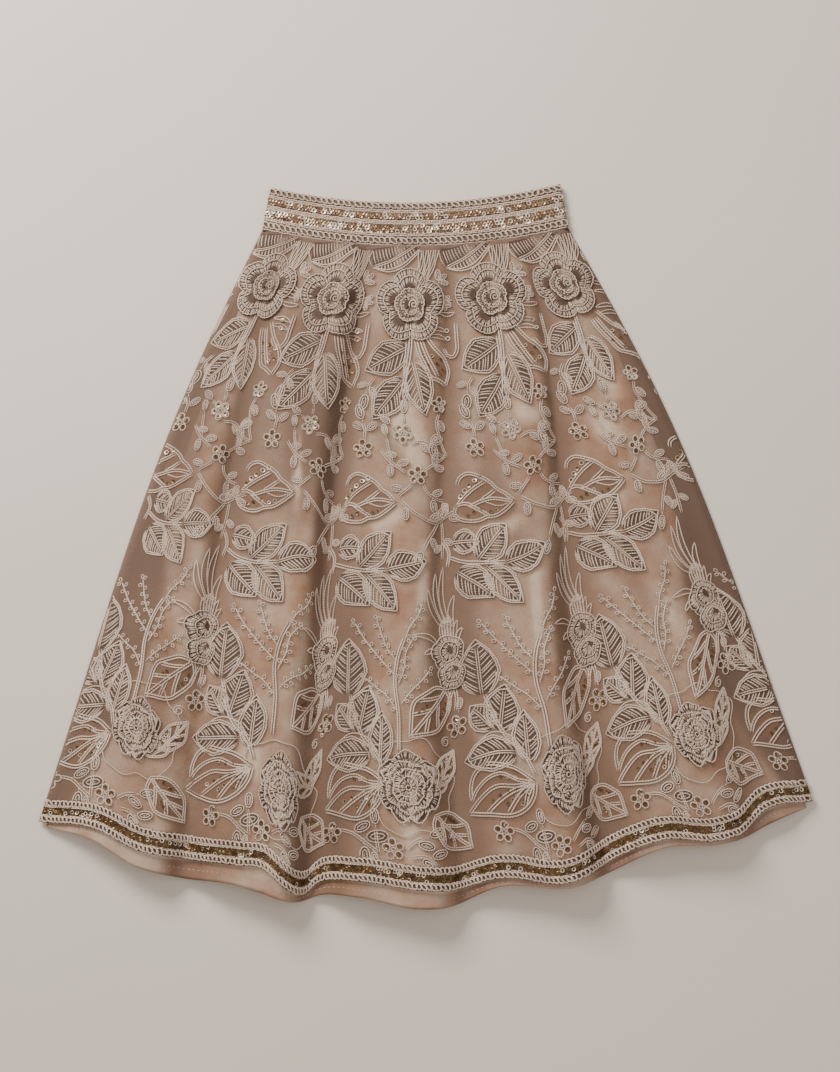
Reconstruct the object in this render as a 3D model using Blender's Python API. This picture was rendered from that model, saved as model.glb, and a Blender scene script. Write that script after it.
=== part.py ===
"""Child's lehenga skirt, laid flat face up: an embroidered net tube over a narrower satin lining,
gathered into a sequinned waistband, with a sequinned trim round the net's hem.

Metres, +Z up. The back panels lie flat on the surface and the front panels lie on them in folds
that fan out from waist to hem. Every front piece is read from one surface: a place on it is
(across, down), with across from 0 at the left side seam to 1 at the right, and down from 0 at the
waistband seam to 1 at the net's hem. Layers are that surface moved out along its normals.
"""

import bpy
import numpy as np

# Waistband. Both its long edges sag in the middle, and its right end lies a little higher.
BAND_TOP_LEFT_X = -0.1415
BAND_TOP_RIGHT_X = 0.1225
BAND_TOP_MIDDLE_Y = 0.3045
BAND_TOP_SAG = 0.0161
BAND_TOP_TILT = 0.0038
SEAM_LEFT_X = -0.1485
SEAM_RIGHT_X = 0.1290
SEAM_MIDDLE_Y = 0.2625
SEAM_SAG = 0.0170
SEAM_TILT = 0.0019

# How far the left and the right side edges bow outwards, about halfway down.
SIDE_BOWS = (0.0145, 0.0175)

# The hem line, one row for each turn of it: how far across, the net's hem and the lining's hem.
HEM_COLUMNS = ("across_x", "net_y", "lining_y")
HEM_TURNS = (
    (-0.3295, -0.2505, -0.2535),
    (-0.2770, -0.2570, -0.2670),
    (-0.2430, -0.2740, -0.2870),
    (-0.2090, -0.2805, -0.2965),
    (-0.1580, -0.2865, -0.3030),
    (-0.1370, -0.2890, -0.3090),
    (-0.1100, -0.3110, -0.3170),
    (-0.0870, -0.2995, -0.3110),
    (-0.0560, -0.2997, -0.3130),
    (-0.0050, -0.3070, -0.3225),
    (0.0150, -0.3080, -0.3215),
    (0.0620, -0.2972, -0.3040),
    (0.1250, -0.2990, -0.3040),
    (0.1480, -0.2865, -0.2950),
    (0.1990, -0.2655, -0.2722),
    (0.2490, -0.2655, -0.2690),
    (0.2670, -0.2590, -0.2640),
    (0.2850, -0.2425, -0.2540),
    (0.3295, -0.2330, -0.2360),
)

# The front's folds, one row each: where it starts at the waist and ends at the hem (across),
# how far its line bows from straight halfway down, its half-widths at the hem on its left and
# right, and how much of the cloth's loft it takes away (below 0) or adds (above 0).
FOLDS = (
    # waist, hem, bow, left, right, swell
    (0.085, 0.192, 0.010, 0.0155, 0.024, -0.80),
    (0.300, 0.318, -0.012, 0.0200, 0.014, 0.34),
    (0.345, 0.352, -0.014, 0.0150, 0.026, -0.93),
    (0.470, 0.500, 0.000, 0.0260, 0.018, 0.18),
    (0.605, 0.553, -0.045, 0.0160, 0.025, -0.72),
    (0.760, 0.695, -0.030, 0.0220, 0.015, 0.26),
    (0.860, 0.733, -0.048, 0.0150, 0.027, -0.90),
    (0.965, 0.925, 0.020, 0.0190, 0.020, -0.62),
)
LOFT_AT_WAIST = 0.0030
LOFT_AT_HEM = 0.0165
LOFT_RISES_OVER = 0.042
FOLD_WIDTH_AT_WAIST = 0.42

# Walls and the stack that they lie in, from the surface that the skirt lies on.
NET_WALL = 0.0012
LINING_WALL = 0.0010
SEAM_GAP = 0.0003
NET_STANDS_OFF = 0.0006
BAND_WALL = 0.0024
TRIM_WALL = 0.0010
LINING_BACK_Z = NET_WALL + SEAM_GAP
FRONT_Z = LINING_BACK_Z + LINING_WALL + SEAM_GAP
NET_OFFSET = LINING_WALL + NET_STANDS_OFF
TRIM_OFFSET = NET_OFFSET + NET_WALL + SEAM_GAP
SIDE_DROP = 0.0028
SIDE_DROP_OVER = 0.0065

# The lining's side edges lie inside the net's: at the waist, halfway and at the hem.
LINING_INSET = (0.009, 0.022, 0.007)
BACK_LIES_INSIDE = 0.0005
BACK_HEM_LIES_INSIDE = 0.0030

# Trim and waistband ribs: how far down its height (0 to 1), and how far the rib stands out.
TRIM_HEIGHT = 0.0200
TRIM_RIBS = (
    (0.0, 0.0),
    (0.16, 0.0008),
    (0.32, 0.0001),
    (0.5, 0.0004),
    (0.68, 0.0001),
    (0.84, 0.0008),
    (1.0, 0.0),
)
BAND_RIBS = (
    (0.0, 0.0002),
    (0.08, 0.0009),
    (0.17, 0.0002),
    (0.32, 0.0006),
    (0.47, 0.0001),
    (0.54, 0.0007),
    (0.61, 0.0001),
    (0.73, 0.0006),
    (0.82, 0.0001),
    (0.92, 0.0010),
    (1.0, 0.0002),
)

COLUMNS = 80
ROWS_ABOVE_TRIM = (0.0, 0.1, 0.24, 0.39, 0.54, 0.69, 0.84, 1.0)
BAND_COLUMNS = 26
MARGIN_COLUMNS = 2
BACK_COLUMNS = 36
BACK_SIDE_ROWS = 7

# Thick corded applique. One row for each piece: where its middle lies, and its reach each way.
WAIST_ROSES = (
    # across, down, half_width, half_height
    (0.084, 0.092, 0.026, 0.0340),
    (0.270, 0.100, 0.031, 0.0370),
    (0.481, 0.102, 0.031, 0.0375),
    (0.706, 0.097, 0.033, 0.0365),
    (0.908, 0.093, 0.028, 0.0345),
)
LEAF_TRIOS = (
    (0.085, 0.167, 0.026, 0.0560),
    (0.272, 0.173, 0.034, 0.0605),
    (0.480, 0.175, 0.036, 0.0605),
    (0.705, 0.173, 0.036, 0.0605),
    (0.898, 0.167, 0.031, 0.0560),
)
LEAF_SPRIGS = (
    (0.066, 0.504, 0.029, 0.0400),
    (0.229, 0.533, 0.040, 0.0420),
    (0.414, 0.528, 0.040, 0.0420),
    (0.618, 0.518, 0.042, 0.0420),
    (0.823, 0.507, 0.041, 0.0420),
)
HEM_ROSES = (
    (0.095, 0.831, 0.0225, 0.0265),
    (0.302, 0.875, 0.0200, 0.0320),
    (0.477, 0.852, 0.0280, 0.0315),
    (0.695, 0.846, 0.0215, 0.0335),
    (0.879, 0.836, 0.0220, 0.0285),
)
ROSE_PETALS = 5
ROSE_SPOKES = 20
ROSE_TURN = np.radians(54)
ROSE_RINGS = (0.0, 0.28, 0.50, 0.78, 1.0)
ROSE_RISE = (0.0030, 0.0022, 0.0012, 0.0026, 0.0010)
ROSE_EYELET_RING = 1
SPRIG_LEAVES = 5
SPRIG_SPOKES = 30
TRIO_SPOKES = 24
LEAF_RINGS = (0.0, 0.36, 0.70, 1.0)
LEAF_RISE = (0.0010, 0.0013, 0.0014, 0.0009)
LEAF_NOTCH = 0.34
TRIO_BACK = 0.14
APPLIQUE_LIFT = 0.0005

THREAD = (0.36, 0.29, 0.245)
NET = (0.30, 0.235, 0.195)
SATIN = (0.56, 0.40, 0.305)
GOLD = (0.24, 0.145, 0.07)
ROSE_GOLD = (0.50, 0.35, 0.26)


def clear_scene():
    for thing in list(bpy.data.objects):
        bpy.data.objects.remove(thing, do_unlink=True)


def material(name, colour, roughness, metallic=0.0):
    made = bpy.data.materials.new(name)
    made.use_nodes = True
    shader = made.node_tree.nodes["Principled BSDF"]
    shader.inputs["Base Color"].default_value = (*colour, 1.0)
    shader.inputs["Roughness"].default_value = roughness
    shader.inputs["Metallic"].default_value = metallic
    return made


def smooth_through(at, known, values):
    """A smooth curve through the known places: cubic between them, with each place's slope taken
    from its two neighbours."""
    known = np.asarray(known, float)
    values = np.asarray(values, float)
    slopes = np.gradient(values, known)
    left = np.clip(np.searchsorted(known, at, side="right") - 1, 0, len(known) - 2)
    span = known[left + 1] - known[left]
    t = np.clip((at - known[left]) / span, 0.0, 1.0)
    rise = values[left + 1] - values[left]
    cubic = slopes[left] * span * t * (1 - t) ** 2 - slopes[left + 1] * span * t * t * (1 - t)
    return values[left] + rise * t * t * (3 - 2 * t) + cubic


def hem_column(name):
    return np.array([row[HEM_COLUMNS.index(name)] for row in HEM_TURNS])


def seam_line(across):
    """The seam under the waistband, where the panels start."""
    x = SEAM_LEFT_X + (SEAM_RIGHT_X - SEAM_LEFT_X) * across
    return x, SEAM_MIDDLE_Y + SEAM_SAG * (2 * across - 1) ** 2 + SEAM_TILT * (across - 0.5)


def band_top_line(across):
    x = BAND_TOP_LEFT_X + (BAND_TOP_RIGHT_X - BAND_TOP_LEFT_X) * across
    return x, BAND_TOP_MIDDLE_Y + BAND_TOP_SAG * (2 * across - 1) ** 2 + BAND_TOP_TILT * (across - 0.5)


def hem_line(across, which="net_y"):
    known = hem_column("across_x")
    x = known[0] + (known[-1] - known[0]) * across
    return x, smooth_through(x, known, hem_column(which))


def panel_length(across):
    """How far it is from the waistband seam to the net's hem, down the panel."""
    (top_x, top_y), (hem_x, hem_y) = seam_line(across), hem_line(across)
    return np.hypot(hem_x - top_x, hem_y - top_y)


def plan(across, down):
    """Where a place lies, seen from above."""
    (top_x, top_y), (hem_x, hem_y) = seam_line(across), hem_line(across)
    turn = np.pi * np.clip(down, 0, 1)
    left, right = SIDE_BOWS
    bow = (right * across - left * (1 - across)) * np.sin(turn) * (1 + 0.35 * np.cos(turn))
    return top_x + (hem_x - top_x) * down + bow, top_y + (hem_y - top_y) * down


def side_distance(across, down):
    """How far a place is from the nearer side edge."""
    width = plan(np.ones_like(across), down)[0] - plan(np.zeros_like(across), down)[0]
    return width * np.minimum(across, 1 - across)


def fold_share(across, down):
    """How much of the loft the folds leave or add: each is a bell, steeper on one side."""
    width = plan(np.ones_like(across), down)[0] - plan(np.zeros_like(across), down)[0]
    share = np.ones_like(across)
    for waist, hem, bow, left, right, swell in FOLDS:
        line = waist + (hem - waist) * down + bow * np.sin(np.pi * np.clip(down, 0, 1))
        away = (across - line) * width
        reach = np.where(away < 0, left, right)
        reach = reach * (FOLD_WIDTH_AT_WAIST + (1 - FOLD_WIDTH_AT_WAIST) * np.clip(down, 0, 1))
        share = share * (1 + swell * np.exp(-((away / reach) ** 2)))
    return share


def surface(across, down):
    """The lining's inner face: the loft, cut by the folds, falls to nothing at the side edges."""
    across, down = np.broadcast_arrays(np.asarray(across, float), np.asarray(down, float))
    x, y = plan(across, down)
    side = np.maximum(side_distance(across, down), 0.0)
    loft = LOFT_AT_WAIST + (LOFT_AT_HEM - LOFT_AT_WAIST) * np.clip(down, 0, 1.1) ** 0.8
    rise = 1 - np.exp(-((side / LOFT_RISES_OVER) ** 2))
    edge = np.clip(side / SIDE_DROP_OVER, 0, 1)
    drop = SIDE_DROP * (1 - edge * edge * (3 - 2 * edge))
    return np.stack([x, y, FRONT_Z - drop + loft * rise * fold_share(across, down)], axis=-1)


def normals(across, down):
    step = 1e-4
    along = surface(across + step, down) - surface(across - step, down)
    fall = surface(across, down + step) - surface(across, down - step)
    out = np.cross(fall, along)
    return out / np.linalg.norm(out, axis=-1, keepdims=True)


def moved_out(across, down, offset):
    """Points of the surface moved out along its normals."""
    return surface(across, down) + normals(across, down) * np.asarray(offset)[..., None]


def lining_inset(down):
    return smooth_through(np.clip(down, 0, 1), (0.0, 0.5, 1.0), LINING_INSET)


def row_columns(down):
    """Places across a row. Between the lining's two edges the same length of cloth lies between
    them, folds included, and MARGIN_COLUMNS more at each side reach out to the net's edge."""
    row = np.array([down, down])
    width = np.ptp(plan(np.array([0.0, 1.0]), row)[0])
    edge = float(lining_inset(down)) / width
    fine = np.linspace(edge, 1 - edge, 1201)
    steps = np.linalg.norm(np.diff(surface(fine, down), axis=0), axis=1)
    cloth = np.concatenate([[0], np.cumsum(steps)])
    even = np.interp(np.linspace(0, cloth[-1], COLUMNS - 2 * MARGIN_COLUMNS + 1), cloth, fine)
    margin = np.linspace(0, edge, MARGIN_COLUMNS, endpoint=False)
    return np.concatenate([margin, even, 1 - margin[::-1]])


def panel_grid():
    """(across, down) of the front panels' grid: the last row but one is the trim's upper edge."""
    across = np.array([row_columns(share) for share in (*ROWS_ABOVE_TRIM, 1.0)])
    above = 1 - TRIM_HEIGHT / panel_length(across[:-1])
    down = np.vstack([above * np.array(ROWS_ABOVE_TRIM)[:, None], np.ones_like(across[:1])])
    return across, down + (1 - down) * SEAM_GAP / panel_length(across)


def falls_right(across, down):
    """For each cell of a grid, whether its shorter diagonal runs down to the right. Every layer
    of cloth is split in the same way, so that no layer's faces cross another's."""
    place = surface(across, down)
    to_right = np.linalg.norm(place[1:, 1:] - place[:-1, :-1], axis=-1)
    to_left = np.linalg.norm(place[1:, :-1] - place[:-1, 1:], axis=-1)
    return to_right < to_left


def sheet_faces(right):
    """A grid's cells as two triangles each, split along the diagonal that `right` names."""
    rows, columns = right.shape
    corner = np.arange((rows + 1) * (columns + 1)).reshape(rows + 1, columns + 1)
    a, b = corner[:-1, :-1], corner[1:, :-1]
    c, d = corner[1:, 1:], corner[:-1, 1:]
    split = np.where(right[..., None], np.stack([a, b, c, a, c, d], -1), np.stack([a, b, d, b, c, d], -1))
    return split.reshape(-1, 3).tolist()


def wall(name, inner, outer, faces, finish):
    """A closed wall between two sets of points that share their faces, with a rim round each edge
    that only one face has. Faces run anticlockwise seen from outside."""
    inner, outer = inner.reshape(-1, 3), outer.reshape(-1, 3)
    count = len(inner)
    sides = [(face[i], face[(i + 1) % len(face)]) for face in faces for i in range(len(face))]
    open_sides = set(sides) - {(b, a) for a, b in sides}
    polygons = [[i + count for i in face] for face in faces]
    polygons += [face[::-1] for face in faces]
    polygons += [[a, b, b + count, a + count] for a, b in sorted(open_sides)]
    mesh = bpy.data.meshes.new(name)
    mesh.from_pydata(np.concatenate([inner, outer]).tolist(), [], polygons)
    mesh.validate()
    mesh.materials.append(finish)
    mesh.shade_smooth()
    mesh.set_sharp_from_angle(angle=np.radians(50))
    made = bpy.data.objects.new(name, mesh)
    bpy.context.scene.collection.objects.link(made)
    return made


def folded_wall(name, across, down, offset, thickness, finish):
    """A front panel or strip: the surface's points, and the same moved out by its thickness."""
    inner = moved_out(across, down, np.broadcast_to(offset, across.shape))
    outer = moved_out(across, down, offset + np.broadcast_to(thickness, across.shape))
    return wall(name, inner, outer, sheet_faces(falls_right(across, down)), finish)


def flat_wall(name, outline, low, thickness, finish):
    """A flat panel from its outline, seen from above and run anticlockwise."""
    lower = np.column_stack([outline, np.full(len(outline), low)])
    upper = lower + (0, 0, thickness)
    return wall(name, lower, upper, [list(range(len(outline)))], finish)


def round_outline(top, hem, left, right):
    """One anticlockwise outline from four lines, each given from left to right or top to hem."""
    return np.concatenate([left[:-1], hem[:-1], right[::-1][:-1], top[::-1][:-1]])


def raised_hem(across, which, rise):
    """A line raised above a hem, and drawn in so that its ends stay on the side seams."""
    y = hem_line(across, which)[1]
    down = 1 - rise / (seam_line(across)[1] - y)
    return np.column_stack([plan(across, down)[0], y + rise])


def back_outline(inset, above_hem, which):
    """A back panel's outline: inside the front's sides by inset(down), its hem above the front's."""
    across = np.linspace(0, 1, BACK_COLUMNS + 1)
    rows = np.linspace(0, 1, BACK_SIDE_ROWS)

    def pinched(line, down):
        share = inset(down) / np.ptp(line(np.array([0.0, 1.0]))[0])
        return share + (1 - 2 * share) * across

    top = np.column_stack(seam_line(pinched(seam_line, 0.0))) - (0, SEAM_GAP)
    hem = raised_hem(pinched(hem_line, 1.0), which, above_hem)
    sides = []
    for end, inwards in ((0, 1), (-1, -1)):
        side = np.column_stack(plan(np.full_like(rows, abs(end)), rows))
        side[:, 0] += inset(rows) * inwards
        side[0], side[-1] = top[end], hem[end]
        sides.append(side)
    return round_outline(top, hem, *sides)


def make_net(thread_net):
    across, down = panel_grid()
    folded_wall("net_front", across, down, NET_OFFSET, NET_WALL, thread_net)
    above_trim = BACK_HEM_LIES_INSIDE + TRIM_HEIGHT + SEAM_GAP
    back = back_outline(lambda down: BACK_LIES_INSIDE + 0 * down, above_trim, "net_y")
    flat_wall("net_back", back, 0.0, NET_WALL, thread_net)


def make_lining(satin):
    """The front lining has the net's own columns but for the margins, so that the two never cross
    in a fold, and one more row at its longer hem."""
    across, down = (grid[:, MARGIN_COLUMNS:-MARGIN_COLUMNS] for grid in panel_grid())
    hem_y, lining_y = hem_line(across[-1])[1], hem_line(across[-1], "lining_y")[1]
    longer = 1 + (hem_y - lining_y) / panel_length(across[-1])
    across, down = np.vstack([across, across[-1]]), np.vstack([down, longer])
    folded_wall("lining_front", across, down, 0.0, LINING_WALL, satin)
    back = back_outline(lining_inset, BACK_HEM_LIES_INSIDE, "lining_y")
    flat_wall("lining_back", back, LINING_BACK_Z, LINING_WALL, satin)


def make_trim(sequinned):
    """The hem trim lies on the front net's last rows, and is butted to the back net's edge."""
    columns = row_columns(1.0)
    shares = np.array([rib[0] for rib in TRIM_RIBS])
    across = np.tile(columns, (len(shares), 1))
    above = TRIM_HEIGHT / panel_length(columns)
    down = 1 - above * (1 - shares[:, None])
    rib = np.array([rib[1] for rib in TRIM_RIBS])[:, None]
    folded_wall("hem_trim_front", across, down, TRIM_OFFSET, TRIM_WALL + rib, sequinned)
    across = np.linspace(0, 1, BACK_COLUMNS + 1)
    lower, upper = (raised_hem(across, "net_y", BACK_HEM_LIES_INSIDE + rise) for rise in (0.0, TRIM_HEIGHT))
    outline = np.concatenate([lower, upper[::-1]])
    flat_wall("hem_trim_back", outline, 0.0, NET_WALL, sequinned)


def band_points(shares):
    """The band's points seen from above, a row for each share of its height."""
    across = np.linspace(0, 1, BAND_COLUMNS + 1)
    top, seam = np.stack(band_top_line(across), -1), np.stack(seam_line(across), -1)
    shares = np.asarray(shares)[:, None, None]
    return top + (seam - top) * shares


def make_waistband(sequinned):
    shares = [rib[0] for rib in BAND_RIBS]
    rib = np.array([rib[1] for rib in BAND_RIBS])[:, None]
    flat = band_points(shares)
    low = BAND_WALL + SEAM_GAP
    ends = np.linspace(-1, 1, BAND_COLUMNS + 1) ** 24
    top = low + BAND_WALL + rib - ends * 0.001
    inner = np.dstack([flat, np.full(flat.shape[:2], low)])
    outer = np.dstack([flat, np.broadcast_to(top, flat.shape[:2])])
    cells = np.ones((flat.shape[0] - 1, flat.shape[1] - 1), bool)
    wall("waistband_front", inner, outer, sheet_faces(cells), sequinned)
    edges = band_points((0.0, 1.0))
    outline = np.concatenate([edges[1], edges[0][::-1]])
    flat_wall("waistband_back", outline, 0.0, BAND_WALL, sequinned)


def on_net(across, down):
    """Places on the flat faces of the front net's outer side: each lies in one half of a cell of
    its grid, the grid's columns being a little apart from row to row."""
    grid_across, grid_down = panel_grid()
    right = falls_right(grid_across, grid_down)
    corners = moved_out(grid_across, grid_down, np.full_like(grid_down, NET_OFFSET + NET_WALL))
    above = 1 - TRIM_HEIGHT / panel_length(across)
    row = np.interp(down / above, ROWS_ABOVE_TRIM, np.arange(len(ROWS_ABOVE_TRIM)))
    row += np.clip((down - above) / (1 - above), 0, 1)
    upper = np.clip(row.astype(int), 0, len(corners) - 2)
    fall = (row - upper)[:, None]
    columns = grid_across[upper] * (1 - fall) + grid_across[upper + 1] * fall
    column = np.array([np.interp(at, line, np.arange(len(line))) for at, line in zip(across, columns)])
    left = np.clip(column.astype(int), 0, corners.shape[1] - 2)
    along = (column - left)[:, None]
    a, b = corners[upper, left], corners[upper + 1, left]
    c, d = corners[upper + 1, left + 1], corners[upper, left + 1]
    near_d = a + (d - a) * along + (c - d) * fall
    near_b = a + (b - a) * fall + (c - b) * along
    near_a = a + (d - a) * along + (b - a) * fall
    near_c = c + (b - c) * (1 - along) + (d - c) * (1 - fall)
    by_right = np.where(along > fall, near_d, near_b)
    by_left = np.where(along + fall < 1, near_a, near_c)
    return np.where(right[upper, left][:, None], by_right, by_left)


def lift_over_folds(across, down, faces):
    """How far a plate stands off, so that its flat faces pass clear of the folds under them."""
    pairs = np.array([(face[i], face[j]) for face in faces for i in range(len(face)) for j in range(i)])
    places = np.stack([across, down], axis=-1)
    flat = on_net(across, down)
    deepest = 0.0
    for share in (0.25, 0.5, 0.75):
        start, end = pairs[:, 0], pairs[:, 1]
        between = places[start] * (1 - share) + places[end] * share
        chord = flat[start] * (1 - share) + flat[end] * share
        under = on_net(between[:, 0], between[:, 1]) - chord
        deepest = max(deepest, float((under * normals(between[:, 0], between[:, 1])).sum(-1).max()))
    return deepest + APPLIQUE_LIFT


def star_plate(name, place, spokes, rings, rise, reach, missing, finish):
    """An applique plate in polar form: rings of points out to reach(angle), each ring standing out
    by its rise, without the cells in missing."""
    across0, down0, half_width, half_height = place
    angle = np.arange(spokes) * 2 * np.pi / spokes
    share = np.array(rings[1:])[:, None] * reach(angle)
    length = float(panel_length(np.array(across0)))
    down = down0 - half_height * share * np.sin(angle) / length
    at = np.clip(down, 0, 1)
    width = plan(np.ones_like(at), at)[0] - plan(np.zeros_like(at), at)[0]
    across = across0 + half_width * share * np.cos(angle) / width
    across = np.concatenate([[across0], across.ravel()])
    down = np.concatenate([[down0], down.ravel()])
    height = np.concatenate([rise[:1], np.repeat(rise[1:], spokes)])
    faces = [[0, 1 + i, 1 + (i + 1) % spokes] for i in range(spokes)]
    for ring in range(len(rings) - 2):
        for i in range(spokes):
            if (ring, i) not in missing:
                near, far = 1 + ring * spokes, 1 + (ring + 1) * spokes
                j = (i + 1) % spokes
                faces.append([near + i, far + i, far + j, near + j])
    away = normals(across, down)
    inner = on_net(across, down) + away * lift_over_folds(across, down, faces)
    return wall(name, inner, inner + away * height[:, None], faces, finish)


def petal_reach(angle):
    """Round petals: the edge dips where two petals meet."""
    return 0.86 + 0.14 * np.abs(np.sin((angle - ROSE_TURN) * ROSE_PETALS / 2)) ** 0.6


def sprig_reach(angle):
    """Pointed leaves: the edge falls steeply from each tip to the notch between two leaves."""
    tip = np.abs(np.cos(angle * SPRIG_LEAVES / 2))
    return LEAF_NOTCH + (1 - LEAF_NOTCH) * tip**1.4


def trio_reach(angle):
    """Three leaves that hang from one joint, 60 degrees apart, with a short back above it."""
    tip = np.abs(np.cos(3 * (angle - np.pi / 2)))
    hanging = np.sin(angle) < -0.4
    return np.where(hanging, LEAF_NOTCH + (1 - LEAF_NOTCH) * tip**0.8, TRIO_BACK)


def make_applique(thread):
    """Roses have an eyelet at the foot of each petal: cut through at the waist, closed at the
    hem."""
    per_petal = ROSE_SPOKES // ROSE_PETALS
    eyelets = {(ROSE_EYELET_RING - 1, per_petal * i + 1) for i in range(ROSE_PETALS)}
    rose = (ROSE_SPOKES, ROSE_RINGS, ROSE_RISE, petal_reach)
    sprig = (SPRIG_SPOKES, LEAF_RINGS, LEAF_RISE, sprig_reach)
    trio = (TRIO_SPOKES, LEAF_RINGS, LEAF_RISE, trio_reach)
    for label, places, form, missing in (
        ("rose_waist", WAIST_ROSES, rose, eyelets),
        ("leaf_trio", LEAF_TRIOS, trio, set()),
        ("leaf_sprig", LEAF_SPRIGS, sprig, set()),
        ("rose_hem", HEM_ROSES, rose, set()),
    ):
        for number, place in enumerate(places, start=1):
            star_plate(f"{label}_{number}", place, *form, missing, thread)


def main():
    clear_scene()
    thread = material("corded_thread", THREAD, 0.6)
    net = material("net", NET, 0.7)
    satin = material("satin", SATIN, 0.35)
    gold = material("gold_sequins", GOLD, 0.35, 0.7)
    rose_gold = material("rose_gold_sequins", ROSE_GOLD, 0.35, 0.6)
    make_lining(satin)
    make_net(net)
    make_trim(gold)
    make_waistband(rose_gold)
    make_applique(thread)


main()
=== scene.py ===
"""A child's lehenga skirt laid flat: corded and sequinned net over satin, gathered into a sequinned
waistband, with a sequinned trim round the net's hem.

Metres, +Z up. Every front piece is read from one surface. A place on it is (across, down): across
from 0 at the left side seam to 1 at the right, down from 0 at the waistband seam to 1 at the net's
hem. The embroidery is drawn in millimetres on flat cloth, x to the right and y up, and a Cloth
carries each drawn point to its place on the folded cloth.
"""

import bpy
import numpy as np
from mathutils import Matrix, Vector


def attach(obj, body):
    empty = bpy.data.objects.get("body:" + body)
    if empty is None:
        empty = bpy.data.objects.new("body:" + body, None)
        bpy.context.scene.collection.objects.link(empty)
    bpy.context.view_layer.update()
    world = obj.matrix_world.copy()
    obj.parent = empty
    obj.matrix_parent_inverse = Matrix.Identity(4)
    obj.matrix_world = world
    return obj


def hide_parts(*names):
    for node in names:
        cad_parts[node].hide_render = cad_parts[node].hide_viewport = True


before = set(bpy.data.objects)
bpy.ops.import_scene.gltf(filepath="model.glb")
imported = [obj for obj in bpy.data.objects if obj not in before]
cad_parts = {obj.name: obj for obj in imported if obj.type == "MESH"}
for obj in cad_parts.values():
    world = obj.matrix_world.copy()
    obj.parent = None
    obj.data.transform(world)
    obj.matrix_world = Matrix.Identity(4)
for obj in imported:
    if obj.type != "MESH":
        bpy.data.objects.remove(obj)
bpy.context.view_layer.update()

MM = 0.001


def whole_units(units, *rows):
    """A table of whole numbers, each divided by its column's units."""
    return tuple(tuple(value / unit for value, unit in zip(row, units)) for row in rows)


# The cut, as in the solids: the waistband, the seam below it and the hem.
BAND_TOP_LEFT_X = -0.1415
BAND_TOP_RIGHT_X = 0.1225
BAND_TOP_MIDDLE_Y = 0.3045
BAND_TOP_SAG = 0.0161
BAND_TOP_TILT = 0.0038
SEAM_LEFT_X = -0.1485
SEAM_RIGHT_X = 0.1290
SEAM_MIDDLE_Y = 0.2625
SEAM_SAG = 0.0170
SEAM_TILT = 0.0019
SIDE_BOWS = (0.0145, 0.0175)
HEM_TURNS = whole_units(
    (1e4, 1e4, 1e4),
    # across_x, net_y, lining_y, in tenths of a millimetre
    (-3295, -2505, -2535), (-2770, -2570, -2670), (-2430, -2740, -2870), (-2090, -2805, -2965),
    (-1580, -2865, -3030), (-1370, -2890, -3090), (-1100, -3110, -3170), (-870, -2995, -3110),
    (-560, -2997, -3130), (-50, -3070, -3225), (150, -3080, -3215), (620, -2972, -3040),
    (1250, -2990, -3040), (1480, -2865, -2950), (1990, -2655, -2722), (2490, -2655, -2690),
    (2670, -2590, -2640), (2850, -2425, -2540), (3295, -2330, -2360),
)
FOLDS = (
    # waist, hem, bow, left, right, swell
    (0.085, 0.192, 0.010, 0.0155, 0.024, -0.80),
    (0.300, 0.318, -0.012, 0.0200, 0.014, 0.34),
    (0.345, 0.352, -0.014, 0.0150, 0.026, -0.93),
    (0.470, 0.500, 0.000, 0.0260, 0.018, 0.18),
    (0.605, 0.553, -0.045, 0.0160, 0.025, -0.72),
    (0.760, 0.695, -0.030, 0.0220, 0.015, 0.26),
    (0.860, 0.733, -0.048, 0.0150, 0.027, -0.90),
    (0.965, 0.925, 0.020, 0.0190, 0.020, -0.62),
)
LOFT_AT_WAIST = 0.0030
LOFT_AT_HEM = 0.0165
LOFT_RISES_OVER = 0.042
FOLD_WIDTH_AT_WAIST = 0.42
FRONT_Z = 0.0028
SIDE_DROP = 0.0028
SIDE_DROP_OVER = 0.0065
LINING_INSET = (0.009, 0.022, 0.007)
TRIM_HEIGHT = 0.0200
BACK_LIES_INSIDE = 0.0030

# Soft creases of the satin: where each starts and ends, its half-width and its depth, below 0 for
# a trough and above 0 for a ridge. The net over it takes NET_TAKES of each.
CREASES = whole_units(
    (100, 100, 100, 100, 1e4, 1e4),
    # across, down, across, down, in hundredths, half_width, depth, in tenths of a millimetre
    (20, 2, 23, 30, 60, -14), (28, 3, 25, 22, 50, 11), (42, 1, 44, 26, 60, -13),
    (52, 2, 50, 33, 70, 13), (57, 2, 58, 18, 50, -12), (69, 1, 67, 28, 60, -13),
    (78, 2, 74, 20, 60, 11), (45, 22, 53, 36, 90, 22), (40, 27, 50, 42, 100, -21),
    (42, 38, 54, 48, 80, 16), (64, 20, 72, 40, 100, 21), (61, 34, 70, 55, 100, -18),
    (20, 25, 26, 44, 90, 18), (14, 40, 24, 60, 90, -18), (76, 24, 86, 44, 90, 21),
    (78, 46, 88, 66, 100, -18), (42, 58, 48, 78, 110, 17), (60, 58, 66, 76, 110, 19),
    (24, 62, 28, 84, 100, 17), (10, 66, 14, 88, 110, -16), (80, 72, 84, 92, 110, 16),
    (42, 84, 43, 102, 90, -15), (64, 86, 63, 102, 90, -14), (25, 90, 24, 102, 80, -13),
    (30, 36, 31, 56, 48, 19), (33, 54, 35, 72, 45, 18), (52, 42, 51, 56, 45, 16),
    (71, 52, 70, 74, 48, 19), (12, 28, 13, 46, 45, 16), (88, 30, 90, 52, 48, 18),
    (58, 66, 57, 90, 45, 16), (38, 78, 38, 98, 48, -17), (19, 66, 20, 86, 45, 17),
    (74, 78, 73, 97, 45, 15),
)
NET_TAKES = 0.45
HIGHEST_CREASE = 0.0022
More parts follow.
